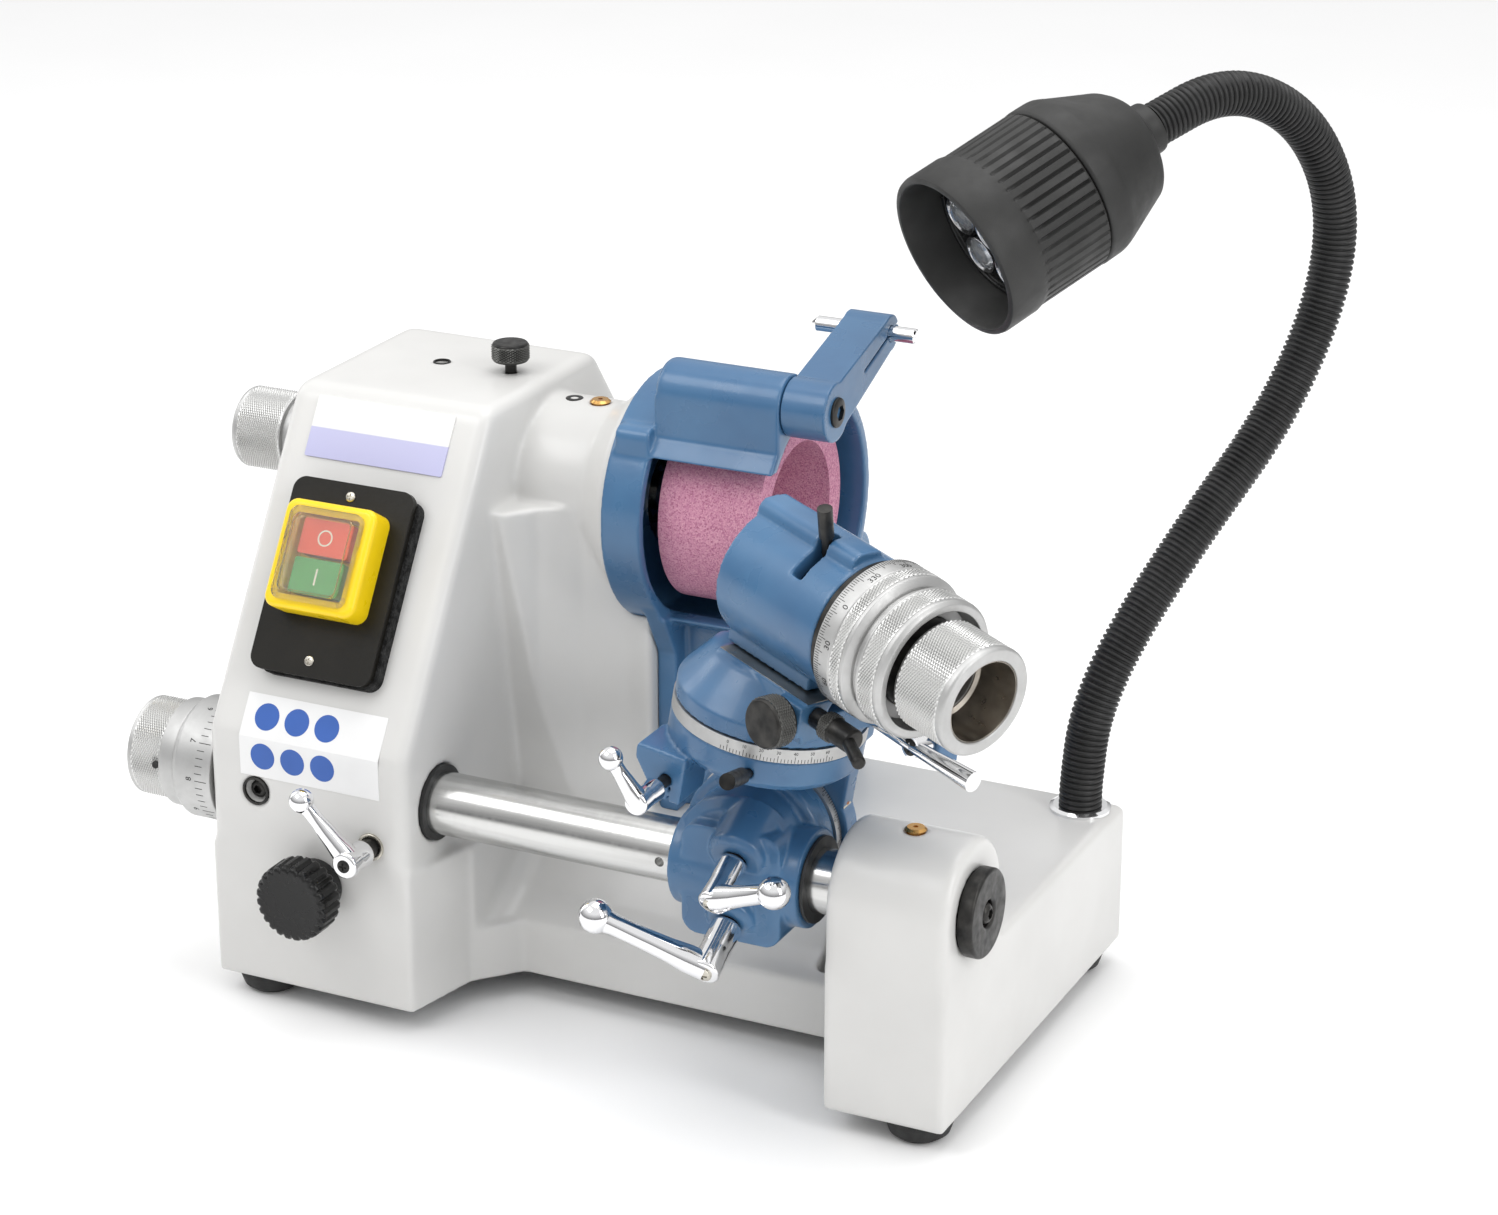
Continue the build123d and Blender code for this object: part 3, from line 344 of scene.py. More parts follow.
PAINT, BLUE, ABRASIVE = make_paint(), make_blue(), make_abrasive()
KNURL = make_knurl("satin_knurl", (0.16, 0.16, 0.155), (0.74, 0.74, 0.73), 0.3)
DARK_KNURL = make_knurl("black_knurl", (0.006, 0.006, 0.006), (0.11, 0.11, 0.105), 0.34)
STEEL, CHROME, SATIN, WARM = make_ground_steel(), make_chrome(), make_satin(), make_warm_steel()
BLACK_STEEL, LAMP, GLOSS_BLACK = make_black_steel(), make_lamp_plastic(), make_gloss_black()
HOSE, FOAM, BELT, NAME_PLATE = make_hose(), make_foam(), make_belt(), make_name_plate()
RUBBER = make_plain("foot_rubber", (0.02, 0.02, 0.02), 0.7, 400, 0.05)
SWITCH_BLACK = make_plain("switch_black", (0.010, 0.009, 0.007), 0.42, 900, 0.05, 0.2, Specular_IOR_Level=0.25)
YELLOW = make_plain("yellow_plastic", (0.95, 0.66, 0.006), 0.3, 200, 0.02, 0.04)
RED = make_plain("red_plastic", (0.78, 0.07, 0.04), 0.35, 300, 0.02)
GREEN = make_plain("green_plastic", (0.04, 0.36, 0.10), 0.35, 300, 0.02)
WHITE = make_plain("white_print", (0.82, 0.82, 0.82), 0.4, 300, 0.005, 0.02)
LABEL_BLUE = make_plain("label_blue", (0.03, 0.11, 0.42), 0.4, 300, 0.005, 0.05)
INK = make_plain("dial_ink", (0.012, 0.012, 0.012), 0.6, 300, 0.003, 0.1)
BRASS = make_plain("brass", (0.63, 0.36, 0.12), 0.25, 200, 0.02, 0.1, Metallic=1.0)
COPPER = make_plain("copper_screw", (0.50, 0.22, 0.12), 0.35, 200, 0.03, 0.15, Metallic=1.0)
BRONZE = make_plain("black_bush", (0.022, 0.022, 0.022), 0.5, 300, 0.03, 0.2)
CREAM = make_plain("cream_plate", (0.66, 0.60, 0.48), 0.35, 300, 0.01, 0.05)
SHEET = make_plain("grey_sheet", (0.2, 0.205, 0.21), 0.45, 250, 0.03)
BEARING = make_plain("bearing_steel", (0.62, 0.62, 0.63), 0.15, 200, 0.01, 0.03, Metallic=1.0)
SILVER_SCREW = make_plain("plated_screw", (0.60, 0.57, 0.50), 0.25, 200, 0.02, 0.08, Metallic=1.0)
LENS = make_clear("clear_lens", (0.93, 0.95, 0.97), 0.03)
COVER = make_clear("clear_cover", (0.99, 0.96, 0.88), 0.03)
THIN_FILM_IOR = 1.18
shader_of(COVER).inputs["IOR"].default_value = THIN_FILM_IOR


# ---- mesh pieces ------------------------------------------------------------------------------
def finished(mesh_object, material, body, replaces=(), sharp=32):
    mesh = mesh_object.data
    mesh.materials.clear()
    mesh.materials.append(material)
    if sharp is not None:
        mesh.shade_smooth()
        mesh.set_sharp_from_angle(angle=math.radians(sharp))
    if body:
        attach(mesh_object, body)
    if replaces:
        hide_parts(*replaces)
    return mesh_object


def mesh_object(name, points, faces):
    mesh = bpy.data.meshes.new(name)
    mesh.from_pydata([placed(p) for p in points], [], faces)
    mesh.validate()
    mesh.update()
    obj = bpy.data.objects.new(name, mesh)
    COLLECTION.objects.link(obj)
    return obj


def outward(obj):
    """Turns every face of a closed mesh outwards."""
    bm = bmesh.new()
    bm.from_mesh(obj.data)
    bmesh.ops.recalc_face_normals(bm, faces=bm.faces)
    bm.to_mesh(obj.data)
    bm.free()
    return obj


def rounded(profile, radius, steps=3):
    """Rounds the corners of a closed (radius, distance) outline, but for those on the axis."""
    points = []
    count = len(profile)
    for i, corner in enumerate(profile):
        before, after = Vector(profile[i - 1]), Vector(profile[(i + 1) % count])
        corner = Vector(corner)
        if corner.x < 0.001:
            points.append(corner)
            continue
        near = min(radius, (before - corner).length * 0.45)
        far = min(radius, (after - corner).length * 0.45)
        start = corner + (before - corner).normalized() * near
        end = corner + (after - corner).normalized() * far
        for j in range(steps + 1):
            t = j / steps
            points.append(start * (1 - t) ** 2 + corner * 2 * t * (1 - t) + end * t ** 2)
    return [(p.x, p.y) for p in points]


class Shape:
    """Points and faces of a piece that is built from several closed parts."""

    def __init__(self):
        self.points = []
        self.faces = []

    def add(self, points, faces):
        offset = len(self.points)
        self.points += [Vector(p) for p in points]
        self.faces += [tuple(i + offset for i in face) for face in faces]

    def lathe(self, cylinder, profile, sides=96, radius_at=None):
        """Turns a closed outline of (radius, distance) points; radius_at(r, angle, s) may change r."""
        rings = []
        points, faces = [], []
        for r, s in profile:
            if r < 0.001:
                rings.append([len(points)])
                points.append(cylinder(0, 0, s))
                continue
            ring = []
            for k in range(sides):
                angle = 2 * math.pi * k / sides
                ring.append(len(points))
                points.append(cylinder(radius_at(r, angle, s) if radius_at else r, angle, s))
            rings.append(ring)
        for a, b in zip(rings, rings[1:] + rings[:1]):
            if len(a) == 1 and len(b) == 1:
                continue
            for k in range(sides):
                n = (k + 1) % sides
                if len(a) == 1:
                    faces.append((a[0], b[n], b[k]))
                elif len(b) == 1:
                    faces.append((a[k], a[n], b[0]))
                else:
                    faces.append((a[k], a[n], b[n], b[k]))
        self.add(points, faces)

    def knurl(self, cylinder, radius, start, end, pitch, depth, core):
        """A band of diamond pyramids, closed inwards to a core radius."""
        around = 2 * round(math.pi * radius / pitch)
        along = max(2, round(2 * (end - start) / pitch))
        points, faces = [], []
        for j in range(along + 1):
            s = start + (end - start) * j / along
            for i in range(around):
                high = (i + j) % 2 == 0 and 0 < j < along
                points.append(cylinder(radius if high else radius - depth, 2 * math.pi * i / around, s))
        for j in range(along):
            for i in range(around):
                n = (i + 1) % around
                a, b = j * around + i, j * around + n
                c, d = (j + 1) * around + n, (j + 1) * around + i
                if (i + j) % 2 == 0:
                    faces += [(a, b, d), (b, c, d)]
                else:
                    faces += [(a, b, c), (a, c, d)]
        top = along * around
        low = len(points)
        points += [cylinder(core, 2 * math.pi * i / around, start) for i in range(around)]
        points += [cylinder(core, 2 * math.pi * i / around, end) for i in range(around)]
        for i in range(around):
            n = (i + 1) % around
            faces.append((low + i, low + n, n, i))
            faces.append((top + i, top + n, low + around + n, low + around + i))
            faces.append((low + around + i, low + around + n, low + n, low + i))
        self.add(points, faces)

    def tick(self, cylinder, radius, angle, start, end, width, height=0.06):
        """A short raised line along the axis, on a cylinder."""
        half = width / 2 / radius
        points = []
        for r in (radius - height, radius + height):
            for s, a in ((start, -half), (start, half), (end, half), (end, -half)):
                points.append(cylinder(r, angle + a, s))
        self.add(points, [(0, 3, 2, 1), (4, 5, 6, 7), (0, 1, 5, 4), (1, 2, 6, 5), (2, 3, 7, 6), (3, 0, 4, 7)])

    def text(self, cylinder, radius, angle, s, words, size, turn=1, height=0.06):
        """Numerals wrapped round a cylinder, their middle at an angle and a distance."""
        curve = bpy.data.curves.new("words", "FONT")
        curve.body = words
        curve.size = size
        curve.align_x = "CENTER"
        curve.align_y = "CENTER"
        curve.extrude = height
        curve.resolution_u = 3
        holder = bpy.data.objects.new("words", curve)
        mesh = bpy.data.meshes.new_from_object(holder)
        points = []
        for v in mesh.vertices:
            points.append(cylinder(radius + v.co.z, angle + turn * v.co.x / radius, s + turn * v.co.y))
        self.add(points, [tuple(p.vertices) for p in mesh.polygons])
        bpy.data.objects.remove(holder)
        bpy.data.meshes.remove(mesh)
        bpy.data.curves.remove(curve)

    def prism(self, outline, place, low, high):
        """A flat closed outline of (x, y) points, given depth between two heights by place(x, y, z)."""
        count = len(outline)
        points = [place(x, y, low) for x, y in outline] + [place(x, y, high) for x, y in outline]
        faces = [tuple(reversed(range(count))), tuple(range(count, 2 * count))]
        for i in range(count):
            n = (i + 1) % count
            faces.append((i, n, count + n, count + i))
        self.add(points, faces)

    def build(self, name, material, body, slot, replaces=(), sharp=32):
        obj = outward(mesh_object(name, self.points, self.faces))
        return finished(obj, material, body, replaces, sharp)


def knurled(name, cylinder, bands, material, body, slot):
    """Knurled bands as one piece; a band is (radius, start, end, pitch, depth, core radius)."""
    shape = Shape()
    for band in bands:
        shape.knurl(cylinder, *band)
    return shape.build(name, material, body, slot, (), 15)


def cut(obj, cutter):
    """Takes the cutter's solid out of obj, for good."""
    modifier = obj.modifiers.new("cut", "BOOLEAN")
    modifier.object = cutter
    modifier.solver = "EXACT"
    bpy.context.view_layer.update()
    graph = bpy.context.evaluated_depsgraph_get()
    mesh = bpy.data.meshes.new_from_object(obj.evaluated_get(graph))
    obj.modifiers.clear()
    obj.data = mesh
    bpy.data.objects.remove(cutter)
    return obj


def polygon(radius, sides, turn=0.0):
    return [(radius * math.cos(turn + 2 * math.pi * i / sides), radius * math.sin(turn + 2 * math.pi * i / sides))
            for i in range(sides)]


def cross_outline(arm, width):
    h = width / 2
    corners = []
    for q in range(4):
        for x, y in ((arm, -h), (arm, h), (h, h)):
            for _turn in range(q):
                x, y = -y, x
            corners.append((x, y))
    return corners


def screw(name, origin, axis, radius, height, body, material, recess="cross", dome=0.35):
    """A screw head standing on a surface, with a cross or hexagon recess."""
    axis = Vector(axis).normalized()
    zero = X if abs(axis.x) < 0.8 else Y
    cylinder = drum_frame(origin, axis, zero)
    profile = [(0, -0.6), (radius, -0.6), (radius, height * 0.45)]
    steps = 5
    for i in range(1, steps + 1):
        a = math.radians(90) * i / (steps + 1)
        profile.append((radius * math.cos(a * 0.9), height * 0.45 + (height * 0.55) * math.sin(a)))
    profile.append((0, height))
    shape = Shape()
    shape.lathe(cylinder, rounded(profile, 0.15 * radius * dome, 2), 40)
    head = outward(mesh_object(name, shape.points, shape.faces))
    side = axis.cross(zero - axis * axis.dot(zero)).normalized()
    start = side.cross(axis)
    place = lambda x, y, z: Vector(origin) + start * x + side * y + axis * z
    tool = Shape()
    outline = cross_outline(radius * 0.62, radius * 0.26) if recess == "cross" else polygon(radius * 0.55, 6)
    tool.prism(outline, place, height * 0.25 if recess == "cross" else -0.2, height + 2)
    cutter = outward(mesh_object(name + "_tool", tool.points, tool.faces))
    cut(head, cutter)
    return finished(head, material, body, (), 30)


# ---- CAD nodes that keep their shape ----------------------------------------------------------
NODE_MATERIALS = {
    "bottom_cover": SHEET, "rubber_feet": RUBBER, "bar_bushes": BRONZE, "oil_cups": BRASS,
    "cable_inlet": LAMP, "switch_gasket": FOAM, "switch_plate": SWITCH_BLACK, "switch_housing": YELLOW,
    "switch_membrane": COVER, "name_plate": NAME_PLATE, "lamp_socket": CHROME, "motor": SHEET,
    "motor_rotor": STEEL, "drive_belt": BELT, "quill": STEEL, "spindle_bearings": BEARING,
    "spindle_shaft": STEEL, "spindle_pulley": SATIN, "grinding_wheel": ABRASIVE, "wheel_flange": STEEL,
    "dresser_pin": CHROME, "guide_bar": STEEL, "bar_end_cap": BLACK_STEEL, "clamp_bush": BRONZE,
    "tilt_scale_ring": SATIN, "swivel_scale_ring": SATIN, "swivel_pin": BLACK_STEEL,
    "work_spindle": BLACK_STEEL, "collet": WARM, "index_lever": BLACK_STEEL, "lamp_lens": LENS,
    "stop_button": RED, "start_button": GREEN, "stop_screw": BLACK_STEEL,
    "tower_lock_lever": CHROME, "tilt_lock_lever": CHROME, "bar_lock_lever": CHROME,
    "swivel_lock_lever": CHROME, "slide_lock_lever": CHROME,
    "upper_dial_grip": SATIN, "upper_dial_ring": SATIN, "lower_dial_grip": SATIN, "lower_dial_ring": SATIN,
    "index_dial": SATIN, "draw_sleeve": SATIN, "feed_knob": BLACK_STEEL, "thumb_screw": BLACK_STEEL,
    "fluted_knob": GLOSS_BLACK, "lamp_housing": LAMP, "lamp_barrel": LAMP, "neck_lower": HOSE,
    "neck_middle": HOSE, "neck_upper": HOSE, "base_casting": PAINT, "wheel_guard": BLUE,
    "dresser_arm": BLUE, "clamp_block": BLUE, "tilt_bracket": BLUE, "turntable": BLUE, "head_body": BLUE,
}


def paint_nodes():
    for node, material in NODE_MATERIALS.items():
        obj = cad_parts[node]
        obj.data.materials.clear()
        obj.data.materials.append(material)


paint_nodes()


# ---- castings ---------------------------------------------------------------------------------
def casting(node, material, body, voxel, passes):
    """A cast and painted copy of a CAD node: its edges and inner corners are rounded as paint does."""
    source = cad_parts[node]
    obj = bpy.data.objects.new(node + "_cast", source.data.copy())
    COLLECTION.objects.link(obj)
    remesh = obj.modifiers.new("remesh", "REMESH")
    remesh.mode = "VOXEL"
    remesh.voxel_size = voxel * MM
    smooth = obj.modifiers.new("smooth", "SMOOTH")
    smooth.factor = 0.5
    smooth.iterations = passes
    bpy.context.view_layer.update()
    graph = bpy.context.evaluated_depsgraph_get()
    mesh = bpy.data.meshes.new_from_object(obj.evaluated_get(graph))
    obj.modifiers.clear()
    obj.data = mesh
    return finished(obj, material, body, (node,), 80)


casting("base_casting", PAINT, "base", 1.6, 8)
casting("wheel_guard", BLUE, "base", 1.1, 6)
casting("clamp_block", BLUE, "block", 0.8, 10)
casting("tilt_bracket", BLUE, "bracket", 0.8, 8)
casting("turntable", BLUE, "turntable", 0.8, 5)
casting("head_body", BLUE, "head", 0.8, 6)
casting("dresser_arm", BLUE, "dresser_arm", 0.5, 6)


# ---- dials on the tower -----------------------------------------------------------------------
def make_upper_dial():
    cylinder = drum_frame(SPINDLE, X, -Y)
    left, right, radius = -474, -444, 22
    shape = Shape()
    shape.lathe(cylinder, rounded([(0, left), (radius - 1, left), (radius, left + 2), (radius - 0.6, left + 3),
                                   (radius - 0.6, right), (radius - 3, right + 0.5), (radius - 3, right + 0.6),
                                   (radius - 3, right + 4), (0, right + 4)], 0.8))
    shape.lathe(cylinder, [(0, -442), (8, -442), (8, -352), (0, -352)], 40)
    shape.build("upper_dial_grip_turned", SATIN, "upper_dial", "satin_alloy", ("upper_dial_grip",), 12)
    knurled("upper_dial_knurl", cylinder, [(22, -471, -444.6, 1.35, 0.55, 20)], KNURL, "upper_dial", "satin_alloy")
    ring = Shape()
    ring.lathe(cylinder, rounded([(8.1, -437), (22, -437), (24, -436), (24, -407), (8.1, -407)], 0.6))
    ring.build("upper_dial_scale", SATIN, "upper_dial", "satin_alloy", ("upper_dial_ring",), 12)
    marks(cylinder, 24, -424, 40, 6, "upper_dial_marks", "upper_dial", 4.5, 10)


def marks(cylinder, radius, s, count, length, name, body, size, numbered):
    """Ticks round a ring from s towards the tower, every fifth long, with small numerals."""
    shape = Shape()
    for i in range(count):
        angle = 2 * math.pi * i / count
        longer = length if i % 5 == 0 else length * 0.6
        shape.tick(cylinder, radius, angle, s, s + longer, 0.35)
    for i in range(numbered):
        angle = 2 * math.pi * i / numbered
        number = str((i + 8) % numbered)
        shape.text(cylinder, radius, angle - 0.02, s - size * 0.75, number, size, -1)
    shape.build(name, INK, body, "black_oxide", (), None)


def make_lower_dial():
    cylinder = drum_frame(BAR, X, -Y)
    shape = Shape()
    shape.lathe(cylinder, rounded([(0, -462), (24, -462), (26, -460.5), (25.4, -459), (25.4, -441), (25.4, -440.4),
                                   (28.4, -440), (28.4, -432), (28, -431.2), (0, -431.2)], 0.7))
    shape.lathe(cylinder, [(0, -432), (10, -432), (10, -372), (0, -372)], 40)
    shape.build("lower_dial_grip_turned", SATIN, "lower_dial", "satin_alloy", ("lower_dial_grip",), 12)
    knurled("lower_dial_knurl", cylinder, [(26, -459, -441.4, 1.35, 0.55, 24)], KNURL, "lower_dial", "satin_alloy")
    hole = Shape()
    spot = drum_frame(BAR + Vector((-442.3, -26.5, 2)), (0, -1, 0.1), X)
    hole.lathe(spot, [(0, 0), (2, 0), (2, 0.9), (1.4, 0.9), (0, 0.3)], 24)
    hole.build("lower_dial_grub_screw", INK, "lower_dial", "black_oxide", (), 30)
    ring = Shape()
    ring.lathe(cylinder, rounded([(10.1, -430.5), (30, -430.5), (32, -427.5), (32, -407), (31.6, -406.5),
                                  (10.1, -406.5)], 0.6))
    ring.build("lower_dial_scale", SATIN, "lower_dial", "satin_alloy", ("lower_dial_ring",), 12)
    marks(cylinder, 32, -415.5, 50, 7, "lower_dial_marks", "lower_dial", 4.6, 10)


make_upper_dial()
make_lower_dial()


# ---- index head -------------------------------------------------------------------------------
def make_index_dial():
    cylinder = drum_frame(HEAD_AXIS, AXIS_OUT, UP)
    shape = Shape()
    shape.lathe(cylinder, rounded([(22.1, 55.4), (36, 55.4), (37, 56), (37, 65.5), (36.4, 66), (36.4, 72.6),
                                   (37, 73), (37, 75), (33, 77.4), (31.5, 77.4), (31.5, 80.6), (34.4, 81),
                                   (34.4, 82.2), (33.8, 82.6), (33.8, 92.6), (34.5, 93), (34.5, 95), (33, 97),
                                   (29.5, 97), (28.6, 86), (22.1, 86)], 0.7))
    shape.build("index_dial_turned", SATIN, "index_dial", "satin_alloy", ("index_dial",), 12)
    bands = [(37.2, 66.2, 72.4, 1.4, 0.6, 35), (34.6, 82.4, 92.4, 1.4, 0.6, 32)]
    knurled("index_dial_knurl", cylinder, bands, KNURL, "index_dial", "satin_alloy")
    marks_shape = Shape()
    for degree in range(0, 360, 2):
        length = 4.4 if degree % 10 == 0 else 2.6
        marks_shape.tick(cylinder, 37, math.radians(degree), 56.6, 56.6 + length, 0.3)
    for degree in range(0, 360, 30):
        angle = math.radians(53 + degree)
        marks_shape.text(cylinder, 37, angle, 63.2, str(degree), 4.4, -1)
    marks_shape.build("index_dial_marks", INK, "index_dial", "black_oxide", (), None)


def make_draw_sleeve():
    cylinder = drum_frame(HEAD_AXIS, AXIS_OUT, UP)
    shape = Shape()
    shape.lathe(cylinder, rounded([(16, 97.4), (25.6, 97.4), (26, 98.4), (26, 125.2), (26.8, 125.6), (26.8, 128.4),
                                   (25.8, 129.5), (20.8, 129.5), (20.2, 129), (19, 106), (16, 106)], 0.7))
    shape.build("draw_sleeve_turned", SATIN, "draw_sleeve", "satin_alloy", ("draw_sleeve",), 12)
    knurled("draw_sleeve_knurl", cylinder, [(26.8, 98.6, 125.2, 1.45, 0.65, 24.5)], KNURL, "draw_sleeve",
            "satin_alloy")
    liner = Shape()
    liner.lathe(cylinder, rounded([(16.2, 105), (18.9, 106), (20.1, 128.6), (19.6, 128.8), (18.3, 107.5),
                                   (16.2, 106.6)], 0.3))
    liner.build("draw_sleeve_bore", WARM, "draw_sleeve", "satin_alloy", ())


make_index_dial()
make_draw_sleeve()


# ---- small knobs and screws -------------------------------------------------------------------
def make_feed_knob():
    cylinder = drum_frame(head_point(43, 0, 20.5), TO_FRONT, UP)
    shape = Shape()
    shape.lathe(cylinder, rounded([(0, 26.5), (3, 26.5), (3, 32.4), (6, 32.4), (6, 37), (11.4, 37), (11.9, 37.6),
                                   (11.9, 47.6), (11, 48.8), (0, 49)], 0.6), 72)
    shape.build("feed_knob_turned", BLACK_STEEL, "feed_knob", "black_oxide", ("feed_knob",), 25)
    knurled("feed_knob_knurl", cylinder, [(12.5, 38, 47.4, 1.35, 0.55, 11)], DARK_KNURL, "feed_knob", "black_oxide")


def make_stop_screw():
    cylinder = drum_frame(head_point(0, 22, 22), AXIS_OUT, UP)
    shape = Shape()
    shape.lathe(cylinder, rounded([(0, 38), (3, 38), (3, 50.5), (5, 50.5), (5, 57.5), (6.4, 57.6), (6.4, 64.4),
                                   (6, 64.6), (6, 76), (5.2, 77), (0, 77)], 0.5), 60)
    pin_axis = Matrix.Rotation(math.radians(-28), 3, UP) @ AXIS_OUT
    pin = drum_frame(head_point(71, 22, 22), pin_axis, UP)
    shape.lathe(pin, rounded([(0, 0), (3.2, 0), (3.2, 24.8), (2.2, 26), (0, 26)], 0.5), 32)
    shape.build("stop_screw_turned", BLACK_STEEL, "stop_screw", "black_oxide", ("stop_screw",), 25)
    knurled("stop_screw_knurl", cylinder, [(7.1, 58, 64, 1.2, 0.5, 6)], DARK_KNURL, "stop_screw", "black_oxide")


def make_thumb_screw():
    cylinder = drum_frame(Vector((-314, 158, 0)), Z, X)
    shape = Shape()
    shape.lathe(cylinder, rounded([(0, 282), (3, 282), (3, 310), (8.8, 310), (9.4, 310.8), (9.4, 319), (8.6, 320),
                                   (0, 320)], 0.5), 72)
    shape.build("thumb_screw_turned", BLACK_STEEL, "thumb_screw", "black_oxide", ("thumb_screw",), 25)
    knurled("thumb_screw_knurl", cylinder, [(10, 311, 318.8, 1.3, 0.55, 9)], DARK_KNURL, "thumb_screw", "black_oxide")


def make_fluted_knob():
    """A moulded knob with broad flutes on its rim and a flat, slightly dished face."""
    cylinder = drum_frame(Vector((-342, 0, 75)), -Y, X)

    def fluted(r, angle, s):
        if r < 17 or s < 12:
            return r
        wave = 0.5 + 0.5 * math.cos(24 * angle)
        return r - 1.3 * max(0.0, wave - 0.45) / 0.55
    profile = [(0, -12), (6, -12), (6, 1), (14, 1), (14, 9), (14.6, 11.5), (19.4, 12.2), (20.4, 13.6), (20.4, 18),
               (20.4, 26.5), (19.6, 28.3), (18, 29), (14, 28.7), (8, 28.5), (0, 28.4)]
    shape = Shape()
    shape.lathe(cylinder, rounded(profile, 0.9), 240, fluted)
    shape.build("fluted_knob_moulded", GLOSS_BLACK, "fluted_knob", "black_plastic", ("fluted_knob",), 40)


make_feed_knob()
make_stop_screw()
make_thumb_screw()
make_fluted_knob()


# ---- levers -----------------------------------------------------------------------------------
def sweep_lever(shape, start, end, radii, sides=32):
    """A round arm along a straight line with its radii given at even steps."""
    axis = end - start
    cylinder = drum_frame(start, axis, Z if abs(axis.normalized().z) < 0.9 else X)
    length = axis.length
    steps = len(radii) - 1
    profile = [(0, 0)] + [(r, length * i / steps) for i, r in enumerate(radii)] + [(0, length)]
    shape.lathe(cylinder, profile, sides)


def ball(shape, centre, radius, steps=14):
    cylinder = drum_frame(centre, Z, X)
    profile = [(radius * math.sin(math.pi * i / steps), -radius * math.cos(math.pi * i / steps))
               for i in range(steps + 1)]
    shape.lathe(cylinder, profile, 40)


def crank_lever(name, node, body, hub_start, hub_axis, hub_radius, hub_length, arm_start, ball_at, ball_radius,
                stem, stem_radius):
    """A chromed clamp lever: waisted arm, ball end, hub with a bevelled face, and its stud."""
    hub_axis = Vector(hub_axis)
    arm_start, ball_at = Vector(arm_start), Vector(ball_at)
    hub = drum_frame(hub_start, hub_axis, Z if abs(hub_axis.z) < 0.9 else X)
    shape = Shape()
    shape.lathe(hub, rounded([(0, 0), (hub_radius * 0.86, 0), (hub_radius, 1.5),
                              (hub_radius * 0.93, hub_length * 0.5), (hub_radius, hub_length - 1.2),
                              (hub_radius - 1, hub_length), (0, hub_length)], 0.8), 56)
    root, waist, neck = hub_radius * 0.86, hub_radius * 0.74, ball_radius * 0.62
    sweep_lever(shape, arm_start, ball_at, [root, root, waist, waist * 0.92, neck, neck, neck * 1.3])
    ball(shape, ball_at, ball_radius)
    shape.build(name, CHROME, body, "chrome", (node,), 40)
    stud = Shape()
    stud.lathe(hub, [(0, -stem), (stem_radius, -stem), (stem_radius, 0), (0, 0)], 32)
    pitch = 1.0
    threads = drum_frame(Vector(hub_start) - hub_axis * stem, hub_axis, X if abs(hub_axis.x) < 0.9 else Z)
    profile = [(0, 0.2)]
    for i in range(int(stem / pitch)):
        profile += [(stem_radius - 0.05, 0.3 + i * pitch), (stem_radius + 0.04, 0.3 + (i + 0.4) * pitch)]
    profile.append((0, stem - 0.1))
    stud.lathe(threads, profile, 32)
    stud.build(name + "_stud", BLACK_STEEL, body, "black_oxide", (), 20)


UPPER_STUD = Vector((-112.0, 8.0, 132.0))
LOWER_STUD = Vector((-115.5, 8.0, 98.0))
crank_lever("tower_lever", "tower_lock_lever", "tower_lever", (-311, -7, 101), -Y, 7, 19, (-311, -19, 101),
            (-335, -24, 131), 6.3, 16, 5)
crank_lever("tilt_lever", "tilt_lock_lever", "tilt_lever", UPPER_STUD + STUD_DOWN * 3, STUD_DOWN, 7.5, 27,
            UPPER_STUD + STUD_DOWN * 26, (-78, -22, 133), 8, 12, 5)
crank_lever("bar_lever", "bar_lock_lever", "bar_lever", LOWER_STUD + STUD_DOWN * 3, STUD_DOWN, 8, 30,
            LOWER_STUD + STUD_DOWN * 29, (-167, -32, 107), 8.5, 12, 5)
crank_lever("swivel_lever", "swivel_lock_lever", "swivel_lever", (-137, -27, 177), -Y, 6, 21, (-137, -44, 177),
            (-148, -50, 199), 5.8, 22, 3)

screw("tower_lever_screw", Vector((-311, -26, 101)), -Y, 3.4, 0.8, "tower_lever", BLACK_STEEL)
screw("tilt_lever_screw", UPPER_STUD + STUD_DOWN * 30, STUD_DOWN, 4.3, 1.8, "tilt_lever", SILVER_SCREW)
screw("bar_lever_screw", LOWER_STUD + STUD_DOWN * 33, STUD_DOWN, 4.6, 1.8, "bar_lever", SILVER_SCREW)
screw("slide_lever_screw", head_point(76, -16.6, 10.5), TO_FRONT, 4.2, 0.8, "slide_lever", BLACK_STEEL)


# ---- switch and plates ------------------------------------------------------------------------
def rounded_box(w, h, r, steps=5):
    points = []
    for cx, cy, a0 in ((w / 2 - r, h / 2 - r, 0), (-w / 2 + r, h / 2 - r, 90), (-w / 2 + r, -h / 2 + r, 180),
                       (w / 2 - r, -h / 2 + r, 270)):
        for i in range(steps + 1):
            a = math.radians(a0 + 90 * i / steps)
            points.append((cx + r * math.cos(a), cy + r * math.sin(a)))
    return points


